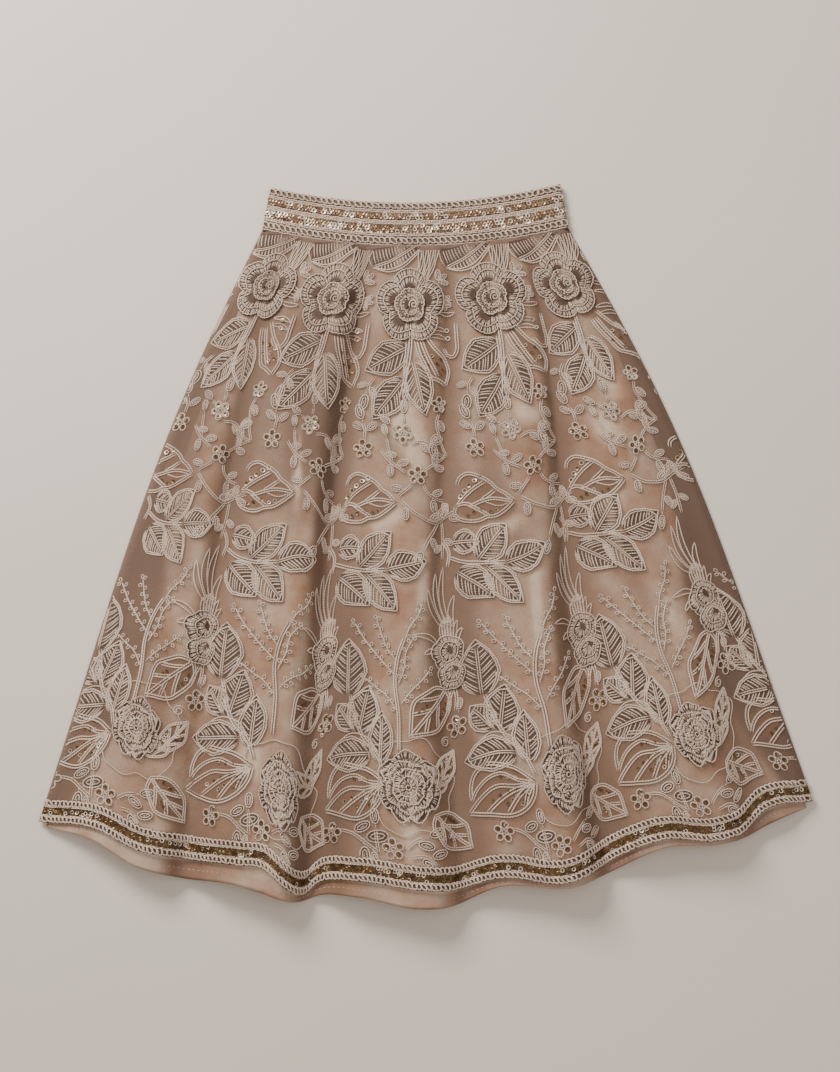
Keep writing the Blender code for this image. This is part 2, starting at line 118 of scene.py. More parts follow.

# Bands of painted shade, above 0, and of painted highlight, below 0, on the satin and on the net
# and lace over it, soft like the creases.
SHADES = whole_units(
    (1000, 1000, 1000, 1000, 1000, 100),
    # across, down, across, down, half_width, in thousandths, amount, in hundredths
    (270, 80, 275, 480, 24, 90), (385, 460, 390, 1040, 16, 58), (62, 400, 78, 620, 24, 38),
    (100, 660, 105, 920, 14, 28), (40, 160, 50, 580, 13, 50), (40, 700, 45, 920, 13, 32),
    (155, 20, 165, 460, 18, 38), (570, 360, 575, 960, 14, 44), (655, 200, 660, 600, 18, 20),
    (330, 620, 335, 900, 12, -35), (160, 540, 170, 1000, 16, -62),
    (460, 260, 500, 370, 11, -90), (900, 200, 920, 300, 9, -80), (860, 300, 890, 370, 9, -80),
    (820, 400, 860, 470, 9, -80), (410, 470, 470, 430, 7, -80), (630, 480, 680, 440, 7, -80),
    (700, 260, 740, 310, 8, -60), (245, 290, 275, 460, 4, -90), (500, 470, 497, 610, 4, -75),
    (690, 520, 680, 670, 4, -75), (100, 460, 135, 630, 7, -25), (310, 520, 312, 740, 4, -60),
    (250, 800, 260, 880, 10, -60), (420, 680, 440, 820, 7, -40), (560, 720, 600, 840, 8, -40),
    (700, 720, 720, 840, 8, -40), (870, 560, 900, 720, 10, -35), (470, 880, 490, 980, 8, -45),
)

# Where the cloth lies, out from the lining's inner face.
LINING_LIFT = 0.0003
LINING_CLOTH = 0.0005
NET_LIFT = 0.0021
NET_CLOTH = 0.0002
SEWN_LIFT = 0.0022
TRIM_LIFT = 0.0027
BACK_NET_Z = 0.00135
BACK_LINING_Z = 0.0018
FLOOR_Z = -0.0003
PANEL_DROP = 0.57
NET_MESH = 1.3
UV_UNIT = 10

# Rows and columns of the cloths' grids, front and back.
FINE_GRID = (181, 561)
FRONT_GRID = (116, 236)
BACK_GRID = (41, 61)
ROWS_PAST_NET = 6
BACK_TONE = 0.12
HEM_SHADE = 0.60

# How far in from each side seam the net is dark, at places down it.
SIDE_SHADE_DOWN = (0.0, 0.3, 0.5, 0.65, 0.8, 0.92, 1.0)
SIDE_SHADE_REACH = (0.002, 0.008, 0.022, 0.040, 0.036, 0.022, 0.010)

# Thick applique, as in the solids: where its middle lies, and its reach each way.
WAIST_ROSES = (
    # across, down, half_width, half_height
    (0.084, 0.092, 0.026, 0.0340),
    (0.270, 0.100, 0.031, 0.0370),
    (0.481, 0.102, 0.031, 0.0375),
    (0.706, 0.097, 0.033, 0.0365),
    (0.908, 0.093, 0.028, 0.0345),
)
LEAF_TRIOS = (
    (0.085, 0.167, 0.026, 0.0560),
    (0.272, 0.173, 0.034, 0.0605),
    (0.480, 0.175, 0.036, 0.0605),
    (0.705, 0.173, 0.036, 0.0605),
    (0.898, 0.167, 0.031, 0.0560),
)
LEAF_SPRIGS = (
    (0.066, 0.504, 0.029, 0.0400),
    (0.229, 0.533, 0.040, 0.0420),
    (0.414, 0.528, 0.040, 0.0420),
    (0.618, 0.518, 0.042, 0.0420),
    (0.823, 0.507, 0.041, 0.0420),
)
HEM_ROSES = (
    (0.095, 0.831, 0.0225, 0.0265),
    (0.302, 0.875, 0.0200, 0.0320),
    (0.477, 0.852, 0.0280, 0.0315),
    (0.695, 0.846, 0.0215, 0.0335),
    (0.879, 0.836, 0.0220, 0.0285),
)
REPEATS = len(WAIST_ROSES)

# Cords, in millimetres.
CORD = 1.45
VEIN = 1.3
TWIN = 1.6
FINE_CORD = 1.1
CORD_RISE = 0.85
SEQUIN = 1.6
BRIGHT_SEQUIN = 2.0
PETALS = 5
ROSE_TURN = np.radians(54)
PETAL_FOOT = 0.44

SEED = 11

# Where sewing ends, as shares of a row or of the way down: at the sides, at the waistband, and
# at the hem for patches. Sequins stay further in, and cords end at the hem trim.
SIDE_MARGIN = 0.003
TOP_MARGIN = 0.001
PATCH_HEM = 0.965
SEQUIN_MARGIN = 0.01
SEQUIN_HEM = 0.955
STITCH_PITCH = 0.0045


# ---------------------------------------------------------------- the skirt's surface


def smooth_through(at, known, values):
    """A smooth curve through the known places: cubic between them, with each place's slope taken
    from its two neighbours."""
    known = np.asarray(known, float)
    values = np.asarray(values, float)
    slopes = np.gradient(values, known)
    left = np.clip(np.searchsorted(known, at, side="right") - 1, 0, len(known) - 2)
    span = known[left + 1] - known[left]
    t = np.clip((at - known[left]) / span, 0.0, 1.0)
    rise = values[left + 1] - values[left]
    cubic = slopes[left] * span * t * (1 - t) ** 2 - slopes[left + 1] * span * t * t * (1 - t)
    return values[left] + rise * t * t * (3 - 2 * t) + cubic


def seam_line(across):
    """The seam under the waistband: a parabola that sags in the middle and tilts a little."""
    x = SEAM_LEFT_X + (SEAM_RIGHT_X - SEAM_LEFT_X) * across
    return x, SEAM_MIDDLE_Y + SEAM_SAG * (2 * across - 1) ** 2 + SEAM_TILT * (across - 0.5)


def band_top_line(across):
    """The waistband's top edge: a parabola like the seam's."""
    x = BAND_TOP_LEFT_X + (BAND_TOP_RIGHT_X - BAND_TOP_LEFT_X) * across
    y = BAND_TOP_MIDDLE_Y + BAND_TOP_SAG * (2 * across - 1) ** 2
    return x, y + BAND_TOP_TILT * (across - 0.5)


def hem_line(across, column=1):
    """A hem: a smooth curve through HEM_TURNS, the net's in column 1 and the lining's in 2."""
    turns = np.array(HEM_TURNS)
    x = turns[0, 0] + (turns[-1, 0] - turns[0, 0]) * across
    return x, smooth_through(x, turns[:, 0], turns[:, column])


def panel_length(across):
    """The straight distance from the waistband seam to the net's hem."""
    (top_x, top_y), (hem_x, hem_y) = seam_line(across), hem_line(across)
    return np.hypot(hem_x - top_x, hem_y - top_y)


def plan(across, down):
    """Seen from above: straight from seam to hem, bowed outwards by half a sine wave that is
    fuller towards the seam."""
    (top_x, top_y), (hem_x, hem_y) = seam_line(across), hem_line(across)
    turn = np.pi * np.clip(down, 0, 1)
    left, right = SIDE_BOWS
    bow = (right * across - left * (1 - across)) * np.sin(turn) * (1 + 0.35 * np.cos(turn))
    return top_x + (hem_x - top_x) * down + bow, top_y + (hem_y - top_y) * down


def row_width(across, down):
    """How wide the skirt is, side to side, at each place."""
    return plan(np.ones_like(across), down)[0] - plan(np.zeros_like(across), down)[0]


def fold_share(across, down):
    """How much of the loft the folds leave or add: a product of bells, each exp(-(away/reach)^2),
    with another reach on its left than on its right."""
    width = row_width(across, down)
    share = np.ones_like(across)
    for waist, hem, bow, left, right, swell in FOLDS:
        line = waist + (hem - waist) * down + bow * np.sin(np.pi * np.clip(down, 0, 1))
        away = (across - line) * width
        reach = np.where(away < 0, left, right)
        reach = reach * (FOLD_WIDTH_AT_WAIST + (1 - FOLD_WIDTH_AT_WAIST) * np.clip(down, 0, 1))
        share = share * (1 + swell * np.exp(-((away / reach) ** 2)))
    return share


def soft_bands(across, down, bands):
    """The sum of soft bands: each is amount * exp(-(distance/half_width)^2) across its line, and
    fades over the line's ends by a half sine wave."""
    x, y = plan(across, down)
    total = np.zeros_like(across)
    for across0, down0, across1, down1, half_width, amount in bands:
        x0, y0 = plan(np.array(across0), np.array(down0))
        x1, y1 = plan(np.array(across1), np.array(down1))
        length = np.hypot(x1 - x0, y1 - y0)
        along = ((x - x0) * (x1 - x0) + (y - y0) * (y1 - y0)) / length**2
        away = ((x - x0) * (y1 - y0) - (y - y0) * (x1 - x0)) / length
        fade = np.sin(np.pi * np.clip(along, 0, 1)) ** 0.8
        total += amount * fade * np.exp(-((away / half_width) ** 2))
    return total


def crease_relief(across, down):
    """The height of the creases."""
    return np.minimum(soft_bands(across, down, CREASES), HIGHEST_CREASE)


def surface(across, down, crease=0.0):
    """The lining's inner face: the loft grows from waist to hem, the folds cut into it, and it
    falls to nothing at the side edges. `crease` says how much of the creases it takes."""
    across, down = np.broadcast_arrays(np.asarray(across, float), np.asarray(down, float))
    x, y = plan(across, down)
    side = np.maximum(row_width(across, down) * np.minimum(across, 1 - across), 0.0)
    loft = LOFT_AT_WAIST + (LOFT_AT_HEM - LOFT_AT_WAIST) * np.clip(down, 0, 1.1) ** 0.8
    rise = 1 - np.exp(-((side / LOFT_RISES_OVER) ** 2))
    edge = np.clip(side / SIDE_DROP_OVER, 0, 1)
    drop = SIDE_DROP * (1 - edge * edge * (3 - 2 * edge))
    share = fold_share(across, down)
    z = FRONT_Z - drop + loft * rise * share
    if crease:
        z = z + crease * crease_relief(across, down) * rise * np.clip(share, 0, 1)
    return np.stack([x, y, z], axis=-1)


def lining_inset(down):
    """How far the lining's side edge lies inside the net's."""
    return smooth_through(np.clip(down, 0, 1), (0.0, 0.5, 1.0), LINING_INSET)


def grid_normals(points):
    """The upward normals of a grid of points, rows running down and columns to the right."""
    out = np.cross(np.gradient(points, axis=0), np.gradient(points, axis=1))
    return out / np.linalg.norm(out, axis=-1, keepdims=True)


# ---------------------------------------------------------------- cloth to sew on


class Cloth:
    """Cloth that drawings are sewn to. A place is (u, v): v is down, and u is the share of the
    row's cloth, folds included, so that a drawing keeps its size on a steep fold."""

    def __init__(self, points, across, v_rows, normals=None, face=1, shade=None):
        """points: a grid of rows at v_rows and columns at even u, whose `across` is a grid too, as
        is `shade`, which says how far the cloth lies in a fold's shade: painted shade, and painted
        highlight below 0, for what is sewn there. Cloth without normals lies flat, and its face is
        1 for up and -1 for down."""
        flat = np.zeros_like(points) + (0, 0, float(face))
        self.points, self.across, self.v_rows = points, across, v_rows
        self.normals = flat if normals is None else normals
        self.down = np.broadcast_to(v_rows[:, None], across.shape)
        self.shade = np.zeros((*across.shape, 1)) if shade is None else shade[..., None]
        self.row_length = np.linalg.norm(np.diff(points, axis=1), axis=-1).sum(axis=1)
        self.face = face

    def u_at(self, across, down):
        """The share of the row's cloth that lies left of a place, which may be past the sides."""
        row = int(np.clip(np.searchsorted(self.v_rows, down), 0, len(self.v_rows) - 1))
        inside = np.interp(across, self.across[row], np.linspace(0, 1, self.across.shape[1]))
        past = (across - np.clip(across, 0, 1)) * row_width(np.zeros(1), down)[0]
        return float(inside + past / self.row_length[row])

    def read(self, grid, u, v):
        """A grid's values between its places: straight-line blends along both its directions."""
        rows, columns = self.points.shape[:2]
        row = np.interp(v, self.v_rows, np.arange(rows))
        column = np.clip(u, 0, 1) * (columns - 1)
        r, c = np.minimum(row.astype(int), rows - 2), np.minimum(column.astype(int), columns - 2)
        fr, fc = (row - r)[..., None], (column - c)[..., None]
        upper = grid[r, c] * (1 - fc) + grid[r, c + 1] * fc
        lower = grid[r + 1, c] * (1 - fc) + grid[r + 1, c + 1] * fc
        return upper * (1 - fr) + lower * fr

    def above(self, u, v, height):
        """Points at heights above the cloth, and the cloth's normals there."""
        outs = self.read(self.normals, u, v)
        return self.read(self.points, u, v) + outs * height, outs

    def sewn(self, across, down, drawn):
        """(u, v) of points drawn in metres round the place (across, down)."""
        v = down - drawn[..., 1] / float(panel_length(np.array(across)))
        length = np.interp(v, self.v_rows, self.row_length)
        return self.u_at(across, down) + drawn[..., 0] / length, v


def even_grid(rows, columns):
    """(across, down) of a grid of even places."""
    return np.meshgrid(np.linspace(0, 1, columns), np.linspace(0, 1, rows))


def level(x, y, z):
    """A grid of points at one height."""
    return np.stack([x, y, np.full_like(x, z)], -1)


def front_cloth(lift, crease, inset=None, grid=FINE_GRID):
    """The front's cloth at a lift above the lining's inner face, with even cloth in each row."""
    rows, columns = grid
    v, even = np.linspace(0, 1, rows), np.linspace(0, 1, columns)
    fine = np.broadcast_to(even, grid)
    if inset is not None:
        edge = (inset(v) / row_width(np.zeros_like(v), v))[:, None]
        fine = edge + (1 - 2 * edge) * fine
    down = np.broadcast_to(v[:, None], grid)
    rough = surface(fine, down, crease)
    cloth = np.cumsum(np.linalg.norm(np.diff(rough, axis=1), axis=-1), axis=1)
    cloth = np.column_stack([np.zeros(rows), cloth])
    across = np.stack([np.interp(even * row[-1], row, line) for row, line in zip(cloth, fine)])
    points = surface(across, down, crease)
    normals = grid_normals(points)
    return Cloth(points + normals * lift, across, v, normals)


def back_cloth(z):
    """The back's flat cloth, which faces down."""
    across, down = even_grid(*BACK_GRID)
    return Cloth(level(*plan(across, down), z), across, down[:, 0], face=-1)


# ---------------------------------------------------------------- meshes


def new_piece(name, points, faces, finish, slot, uv=None, tones=None, smooth=True):
    """A mesh at the origin from arrays. uv has a pair for each point, tones one number."""
    mesh = bpy.data.meshes.new(name)
    mesh.vertices.add(points.size // 3)
    mesh.vertices.foreach_set("co", np.float32(points).ravel())
    mesh.loops.add(faces.size)
    mesh.loops.foreach_set("vertex_index", np.int32(faces).ravel())
    mesh.polygons.add(len(faces))
    starts = np.arange(0, faces.size, faces.shape[1], dtype=np.int32)
    mesh.polygons.foreach_set("loop_start", starts)
    mesh.update(calc_edges=True)
    mesh.validate()
    if uv is not None:
        corners = np.float32(uv).reshape(-1, 2)[faces.ravel()]
        mesh.uv_layers.new(name="UVMap").data.foreach_set("uv", corners.ravel())
    if tones is not None:
        tone = mesh.attributes.new("tone", "FLOAT", "POINT")
        tone.data.foreach_set("value", np.float32(tones).ravel())
    if smooth:
        mesh.shade_smooth()
    mesh.materials.append(finish)
    piece = bpy.data.objects.new(name, mesh)
    bpy.context.scene.collection.objects.link(piece)
    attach(piece, "root")
    return piece


def grid_faces(rows, columns, turned=False):
    """The quads of a grid of points, anticlockwise seen from above where rows run down."""
    corner = np.arange(rows * columns).reshape(rows, columns)
    quads = [corner[:-1, :-1], corner[1:, :-1], corner[1:, 1:], corner[:-1, 1:]]
    return np.stack(quads[::-1] if turned else quads, axis=-1).reshape(-1, 4)


def new_sheet(name, points, look, uv, tones, wall, node, face=1, **soft):
    """A sheet from a grid of points, which stands for a solid. Its look is a finish and a slot, and
    the slot is not used. Its wall is all on the side that it faces: 1 for up and -1 for down."""
    faces = grid_faces(*points.shape[:2], turned=face < 0)
    sheet = new_piece(name, points, faces, *look, uv, tones)
    thick = sheet.modifiers.new("wall", "SOLIDIFY")
    thick.thickness = wall
    thick.offset = float(face)
    thick.use_even_offset = True
    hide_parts(node)


class Cordwork:
    """Gathers cords or patches for one mesh. A cord is a strip with a half-round section: its
    points are the cord's line, moved to the side by the section's x times half its width, and out
    along the cloth's normal by the section's y times its rise."""

    ROUND = np.array([(-1.0, 0.0), (-0.62, 0.86), (0.62, 0.86), (1.0, 0.0)])
    RIDGE = np.array([(-1.0, 0.0), (0.0, 1.0), (1.0, 0.0)])

    def __init__(self):
        self.kept, self.count = [], 0

    def keep(self, points, quads, uv, tones):
        """Keeps the quads and the points that they use."""
        used = np.unique(quads)
        place = np.zeros(len(points), int)
        place[used] = np.arange(len(used))
        self.kept.append((points[used], place[quads] + self.count, uv[used], tones[used]))
        self.count += len(used)

    def lay(self, cloth, u, v, width, rise, lift, tone, section=ROUND, shown=True):
        """Cords along the rows of u and v, thinned to a point at each open end."""
        at, out = cloth.above(u, v, 0)
        along = np.gradient(at, axis=1)
        closed = np.linalg.norm(at[:, 0] - at[:, -1], axis=-1) < 1e-6
        turn = at[:, 1] - at[:, -2]
        along[closed, 0], along[closed, -1] = turn[closed], turn[closed]
        aside = np.cross(along, out)
        aside /= np.linalg.norm(aside, axis=-1, keepdims=True) + 1e-12
        steps = np.linalg.norm(np.diff(at, axis=1), axis=-1)
        run = np.column_stack([np.zeros(len(at)), np.cumsum(steps, axis=1)])
        to_end = np.minimum(run, run[:, -1:] - run)
        thin = np.sqrt(np.clip(to_end / (0.45 * width), 0.06, 1))
        thin[closed] = 1
        half = (thin * width / 2)[..., None, None]
        high = (thin * rise)[..., None, None]
        at = at + out * np.asarray(lift)[..., None]
        points = at[:, :, None] + aside[:, :, None] * half * section[:, 0, None]
        points = points + out[:, :, None] * high * section[:, 1, None]
        shape = rows, steps, sides = points.shape[:3]
        corner = np.arange(rows * steps * sides).reshape(shape)
        quads = [corner[:, :-1, :-1], corner[:, :-1, 1:], corner[:, 1:, 1:], corner[:, 1:, :-1]]
        shown = np.broadcast_to(shown, u.shape)
        seen = (shown[:, :-1] & shown[:, 1:])[..., None]
        quads = np.stack(quads, axis=-1)[np.broadcast_to(seen, quads[0].shape)]
        if not len(quads):
            return
        uv = np.empty((*shape, 2))
        uv[..., 0] = np.linspace(0, 1, sides)
        uv[..., 1] = run[:, :, None] / MM / UV_UNIT
        # Each cord's tone is random, less the cloth's painted shade, which paints highlights below
        # 0.
        tones = (0.3 + 0.6 * tone)[:, None] - 0.8 * cloth.read(cloth.shade, u, v)[..., 0]
        tones = np.broadcast_to(tones[..., None], shape)
        self.keep(points.reshape(-1, 3), quads, uv.reshape(-1, 2), tones.reshape(-1))

    def build(self, name, finish, slot="corded_thread"):
        points, faces, uv, tones = (np.concatenate(arrays) for arrays in zip(*self.kept))
        return new_piece(name, points, faces, finish, slot, uv, tones)


# ---------------------------------------------------------------- drawings, in millimetres


class Drawing:
    """Cords, sequins and grounds drawn flat. A family of cords is an array of (cord, point, xy),
    and a cord's lift is how far it stands off the net. A ground is a patch under cords."""

    def __init__(self):
        self.cords, self.sequins, self.grounds = [], [], []

    def cord(self, points, width=CORD, lift=0.0):
        points = np.asarray(points, float)
        points = points[None] if points.ndim == 2 else points
        self.cords.append((points, width, np.broadcast_to(lift, points.shape[:2])))

    def twin(self, *lines, apart=2.15, width=TWIN):
        """Two cords side by side along each smooth line through its knots."""
        for knots in lines:
            line = through(knots)
            along = np.gradient(line, axis=0)
            aside = np.stack([-along[:, 1], along[:, 0]], -1)
            aside *= apart / 2 / np.linalg.norm(aside, axis=1, keepdims=True)
            self.cord(np.stack([line + aside, line - aside]), width)

    def sequin(self, places, radius=SEQUIN):
        self.sequins += [(x, y, radius) for x, y in np.atleast_2d(places)]

    def ground(self, grid, height=0.25, kind="pad"):
        """A patch from a grid of points: a pad, a rose's darker core, a veil, which is a second
        layer of net, or a hole. Pads and cores are thread under the cords, darker as painted shade
        in the gaps between cords, and a hole is a dark patch of painted shade."""
        self.grounds.append((grid, np.broadcast_to(height, grid.shape[:2]), kind))

    def hole(self, along, aside, height, at, turn=0.0, spokes=10, rings=1):
        """A dark oval patch of painted shade where the lace has an opening."""
        opening = Drawing()
        opening.ground(oval_grid((0, 0), along, aside, spokes, rings), height, "hole")
        self.place(opening, at, turn)

    def place(self, other, at=(0.0, 0.0), turn=0.0, size=1.0):
        """Adds another drawing, sized, turned by degrees and moved, in that order. A size below 0
        mirrors it first."""
        c, s = np.cos(np.radians(turn)) * abs(size), np.sin(np.radians(turn)) * abs(size)
        flip = np.sign(size)
        matrix = np.array([[c * flip, s * flip], [-s, c]])
        self.cords += [(points @ matrix + at, *rest) for points, *rest in other.cords]
        self.grounds += [(grid @ matrix + at, *rest) for grid, *rest in other.grounds]
        for *spot, radius in other.sequins:
            self.sequins.append((*(np.array(spot) @ matrix + at), radius))
        return self


def through(knots):
    """A smooth line through the knots, with a point about every 3 mm."""
    x, y = np.transpose(knots).astype(float)
    run = np.concatenate([[0], np.cumsum(np.hypot(np.diff(x), np.diff(y)))])
    at = np.linspace(0, run[-1], max(5, int(run[-1] / 3.0)))
    return np.stack([smooth_through(at, run, x), smooth_through(at, run, y)], -1)


def run_along(line):
    """How far along a line each of its points lies."""
    return np.concatenate([[0], np.cumsum(np.linalg.norm(np.diff(line, axis=0), axis=1))])


def on_line(line, at, places):
    """Points on a line at places, where `at` says where the line's own points lie."""
    return np.stack([np.interp(places, at, line[:, k]) for k in (0, 1)], -1)


def evened(line, count):
    """Points at even lengths along a line."""
    run = run_along(line)
    return on_line(line, run, np.linspace(0, 1, count) * run[-1])


def between(first, second, near, far, rows):
    """A grid of points from near one line of points to near another."""
    return first + (second - first) * np.linspace(near, far, rows)[:, None, None]


def polar(angle, radius):
    """Points at angles in radians and radii."""
    return np.stack([np.cos(angle) * radius, np.sin(angle) * radius], -1)


def ovals(centres, along, aside, turn=0.0, count=11):
    """Closed ovals: centre + (along * cos, aside * sin), turned by `turn` radians."""
    centres = np.atleast_2d(centres)
    angle = np.linspace(0, 2 * np.pi, count)
    x, y = along * np.cos(angle), aside * np.sin(angle)
    turn = np.broadcast_to(turn, len(centres))[:, None]
    c, s = np.cos(turn), np.sin(turn)
    return centres[:, None] + np.stack([x * c - y * s, x * s + y * c], -1)


def leaf_half(t, width):
    """Half a leaf's width along it: sin(pi t^0.86) to a power that grows from 0.5 at the root to
    1.1 at the tip, so that the root is round and the tip pointed."""
    t = np.clip(t, 0, 1)
    return width / 2 * np.sin(np.pi * t**0.86) ** (0.5 + 0.6 * t)


def leaf_place(t, side, length, bend=0.0):
    """Points beside a leaf's midrib, which bends aside by bend * length * sin^2 of half a turn."""
    return np.stack([side + bend * length * np.sin(np.pi * t / 2) ** 2, length * t + 0 * side], -1)


def leaf_grid(length, width, bend=0.0):
    """A grid over a leaf, from its root to its tip."""
    t = np.linspace(0.02, 0.95, 11)[:, None]
    half = np.maximum(leaf_half(t, width) - 1.0, 0.0)
    return leaf_place(t, -half * np.linspace(-1, 1, 7), length, bend)


def leaf(length, width, bend=0.05, gap=3.8):
    """A veined leaf from its root at the origin to its tip above: two outlines, one inside the
    other, a double midrib, and veins that rise from it to the inner outline."""
    made = Drawing()
    made.ground(leaf_grid(length, width, bend))
    t = np.concatenate([np.linspace(0, 1, 16), np.linspace(1, 0, 16)[1:]])
    hand = np.where(np.arange(len(t)) < 16, 1.0, -1.0)
    for inset in (0.7, 2.7):
        shrunk = inset / length + t * (1 - 2.8 * inset / length)
        wavy = 1 + 0.022 * np.sin(t * 16 + hand + length)
        wavy = wavy + 0.022 * np.sin(t * 33 + 2 * hand + width)
        half = np.maximum(leaf_half(shrunk, width) * wavy - inset, 0.0)
        made.cord(leaf_place(shrunk, hand * half, length, bend), TWIN)
    rib = np.linspace(0, 0.86, 8)
    ribs = [leaf_place(rib, 0 * rib + side, length, bend) for side in (0.95, -0.95)]
    made.cord(np.stack(ribs), VEIN, 0.15)
    for hand in (1, -1):
        start = np.arange(0.05, 0.84, gap / length)
        start = start + 0.9 / length * np.sin(start * 57 + hand + width)
        end = start
        for _ in range(6):
            end = start + 0.85 * np.maximum(leaf_half(end, width) - 3.4, 0.0) / length
        reach = leaf_half(end, width) - 3.0
        start, end, reach = (some[reach > 2.4][:, None] for some in (start, end, reach))
        share = np.linspace(0, 1, 5)
        t, x = start + (end - start) * share**1.2, 1.3 + (reach - 1.3) * share
        made.cord(leaf_place(t, hand * x, length, bend), VEIN)
    return made


def leafy(leaves, stems):
    """Veined leaves, each (length, width, bend, root, turn), and the double stems between."""
    made = Drawing()
    for length, width, bend, root, turn in leaves:
        made.place(leaf(length, width, bend), root, turn)
    made.twin(*stems)
    return made


def open_leaf(length, width):
    """An open leaf: a double outline with a nick or two, a double midrib, double branches, and a
    row of sequins beside them, on a second layer of net."""
    made = Drawing()
    made.ground(leaf_grid(length, width), kind="veil")
    t = np.linspace(0, 1, 9)
    half = leaf_half(t, width) - 1.2
    for hand in (1, -1):
        wave = 0.9 * np.sin(t * 13 + hand) * np.sin(np.pi * t)
        made.twin(np.stack([hand * (half + wave), length * t], -1))
    made.twin([(0, 0), (0.8, length * 0.5), (0, length * 0.97)])
    for hand, start, end in ((1, 0.14, 0.46), (1, 0.40, 0.70), (-1, 0.26, 0.60), (-1, 0.52, 0.80)):
        tip = hand * leaf_half(np.array(end), width) * 0.88
        bow = (tip * 0.5, length * (start * 0.45 + end * 0.55))
        made.twin([(0, length * start), bow, (tip, length * end)])
    rows = np.array([0.20, 0.28, 0.36, 0.44])
    made.sequin(np.stack([-leaf_half(rows, width) * 0.55, length * rows], -1))
    made.sequin(np.stack([leaf_half(rows, width) * 0.45, length * (rows + 0.24)], -1)[:3])
    return made


def lying_leaf():
    """A broad open leaf that lies with its root to the right: a kinked upper edge that ends in a
    hook, a midrib with a small blade in it, two veins that rise to the upper edge, one that falls
    to the lower, and sequins beside the longest, on a second layer of net."""
    made = Drawing()
    upper = np.array([(0, 1), (-9, 8), (-19, 15), (-29, 22), (-39, 24), (-49, -3)], float)
    lower = np.array([(0, -1), (-10, -9), (-20, -15), (-31, -18), (-42, -19), (-50, -5)], float)
    made.ground(between(lower, upper, 0.05, 0.95, 6), kind="veil")
    lower_edge = [(0, 0), (-9, -8), (-20, -15), (-26, -16), (-31, -19)]
    made.twin(
        [(0, 0), (-9, 8), (-13, 10), (-19, 16), (-28, 21), (-38, 24), (-44, 21), (-47, 15)],
        [*lower_edge, (-42, -19), (-49, -15), (-52, -8), (-49, -3)],
        [(-50, -3), (-41, -3), (-38, -5), (-29, -2), (-20, 1), (-1, 0)],
        [(-49, -3), (-36, 8), (-23, 17)],
        [(-29, -1), (-22, 4), (-15, 10)],
        [(-41, -3), (-33, -9), (-23, -15)],
    )
    made.cord(through([(-27, -2), (-14, -5), (-4, -1)]), VEIN)
    made.sequin([(-45, 4), (-41, 9), (-37, 13), (-32, 17), (-27, 20)], 2.1)
    made.sequin([(-17, -9), (-22, -11), (-29, -9), (-36, -12), (-41, -14)])
    return made


def oval_grid(at, along, aside, spokes, rings, edge=1.0):
    """A round grid of points from near a middle out to an oval edge."""
    angle = np.linspace(0, 2 * np.pi, spokes + 1)
    share = np.linspace(0.06, 1, rings + 1)[:, None] * edge
    return at + np.stack([np.cos(angle) * along, np.sin(angle) * aside], -1) * share[..., None]


def bud(length=13.0, width=7.8, stalk=0.0):
    """An oval bud of two rings and a middle stroke, above a stalk that rises from the origin."""
    made = Drawing()
    middle = np.array([0, stalk + length / 2])
    made.ground(oval_grid(middle, width / 2 - 0.8, length / 2 - 0.8, 8, 2))
    made.cord(ovals(middle, length / 2 - 0.7, width / 2 - 0.7, np.pi / 2, 13), VEIN)
    made.cord(ovals(middle, length / 2 - 2.6, width / 2 - 2.4, np.pi / 2, 9), VEIN, 0.1)
    made.cord([middle - (0, 1.8), middle + (0.3, 0), middle + (0, 1.8)], FINE_CORD, 0.2)
    if stalk:
        made.cord([(0, 0), (0.3, stalk / 2), (0, stalk)], VEIN)
    return made


def curl(radius=4.6):
    """A tight loop of cord with a smaller loop inside."""
    turn = np.linspace(0, 3.4 * np.pi, 22)
    made = Drawing()
    made.cord(polar(turn, radius * (1 - 0.07 * turn)), VEIN)
    return made


def loops():
    """Three long double loops that spread from one root."""
    made = Drawing()
    angle = np.radians([-52, 0, 48])
    made.cord(ovals(polar(angle, 5.4), 4.9, 2.2, angle, 13), VEIN)
    made.cord(ovals(polar(angle, 5.6), 2.6, 0.9, angle, 9), FINE_CORD, 0.1)
    return made


def blossom(radius=9.4, shine=True):
    """A small flower: five ring petals round a ring, a dull sequin in each and a bright one, whose
    brightness is a painted glint.
    """
    made = Drawing()
    angle = np.pi / 2 + np.arange(PETALS) * 2 * np.pi / PETALS
    made.cord(ovals(polar(angle, 0.60 * radius), 0.33 * radius, 0.30 * radius, angle, 12), VEIN)
    made.cord(ovals((0, 0), 0.17 * radius, 0.17 * radius, count=8), FINE_CORD, 0.3)
    made.sequin(polar(angle, 0.58 * radius), 0.185 * radius)
    if shine:
        made.sequin((0.2 * radius, 0.62 * radius), BRIGHT_SEQUIN)
    return made


def along_line(line, share):
    """A place on a line of points and the line's direction there, in degrees."""
    at = np.linspace(0, 1, len(line))
    facing = np.degrees(np.unwrap(np.arctan2(*np.gradient(line, axis=0).T[::-1])))
    return on_line(line, at, share), np.interp(share, at, facing)


def vine(stems, flowers):
    """Stems with buds, and flowers. A stem is (knots, buds), each bud (share of the stem, side,
    size) on a stalk that leaves the stem at 50 degrees, and a flower is (x, y, radius, shines)."""
    made = Drawing()
    for knots, buds in stems:
        line = through(knots)
        made.twin(knots, apart=1.9, width=FINE_CORD)
        for share, side, size in buds:
            foot, facing = along_line(line, share)
            made.place(bud(stalk=2.5), foot, facing + side * 50 - 90, size)
    for x, y, radius, shines in flowers:
        made.place(blossom(radius, shines), (x, y), 17 * x)
    return made


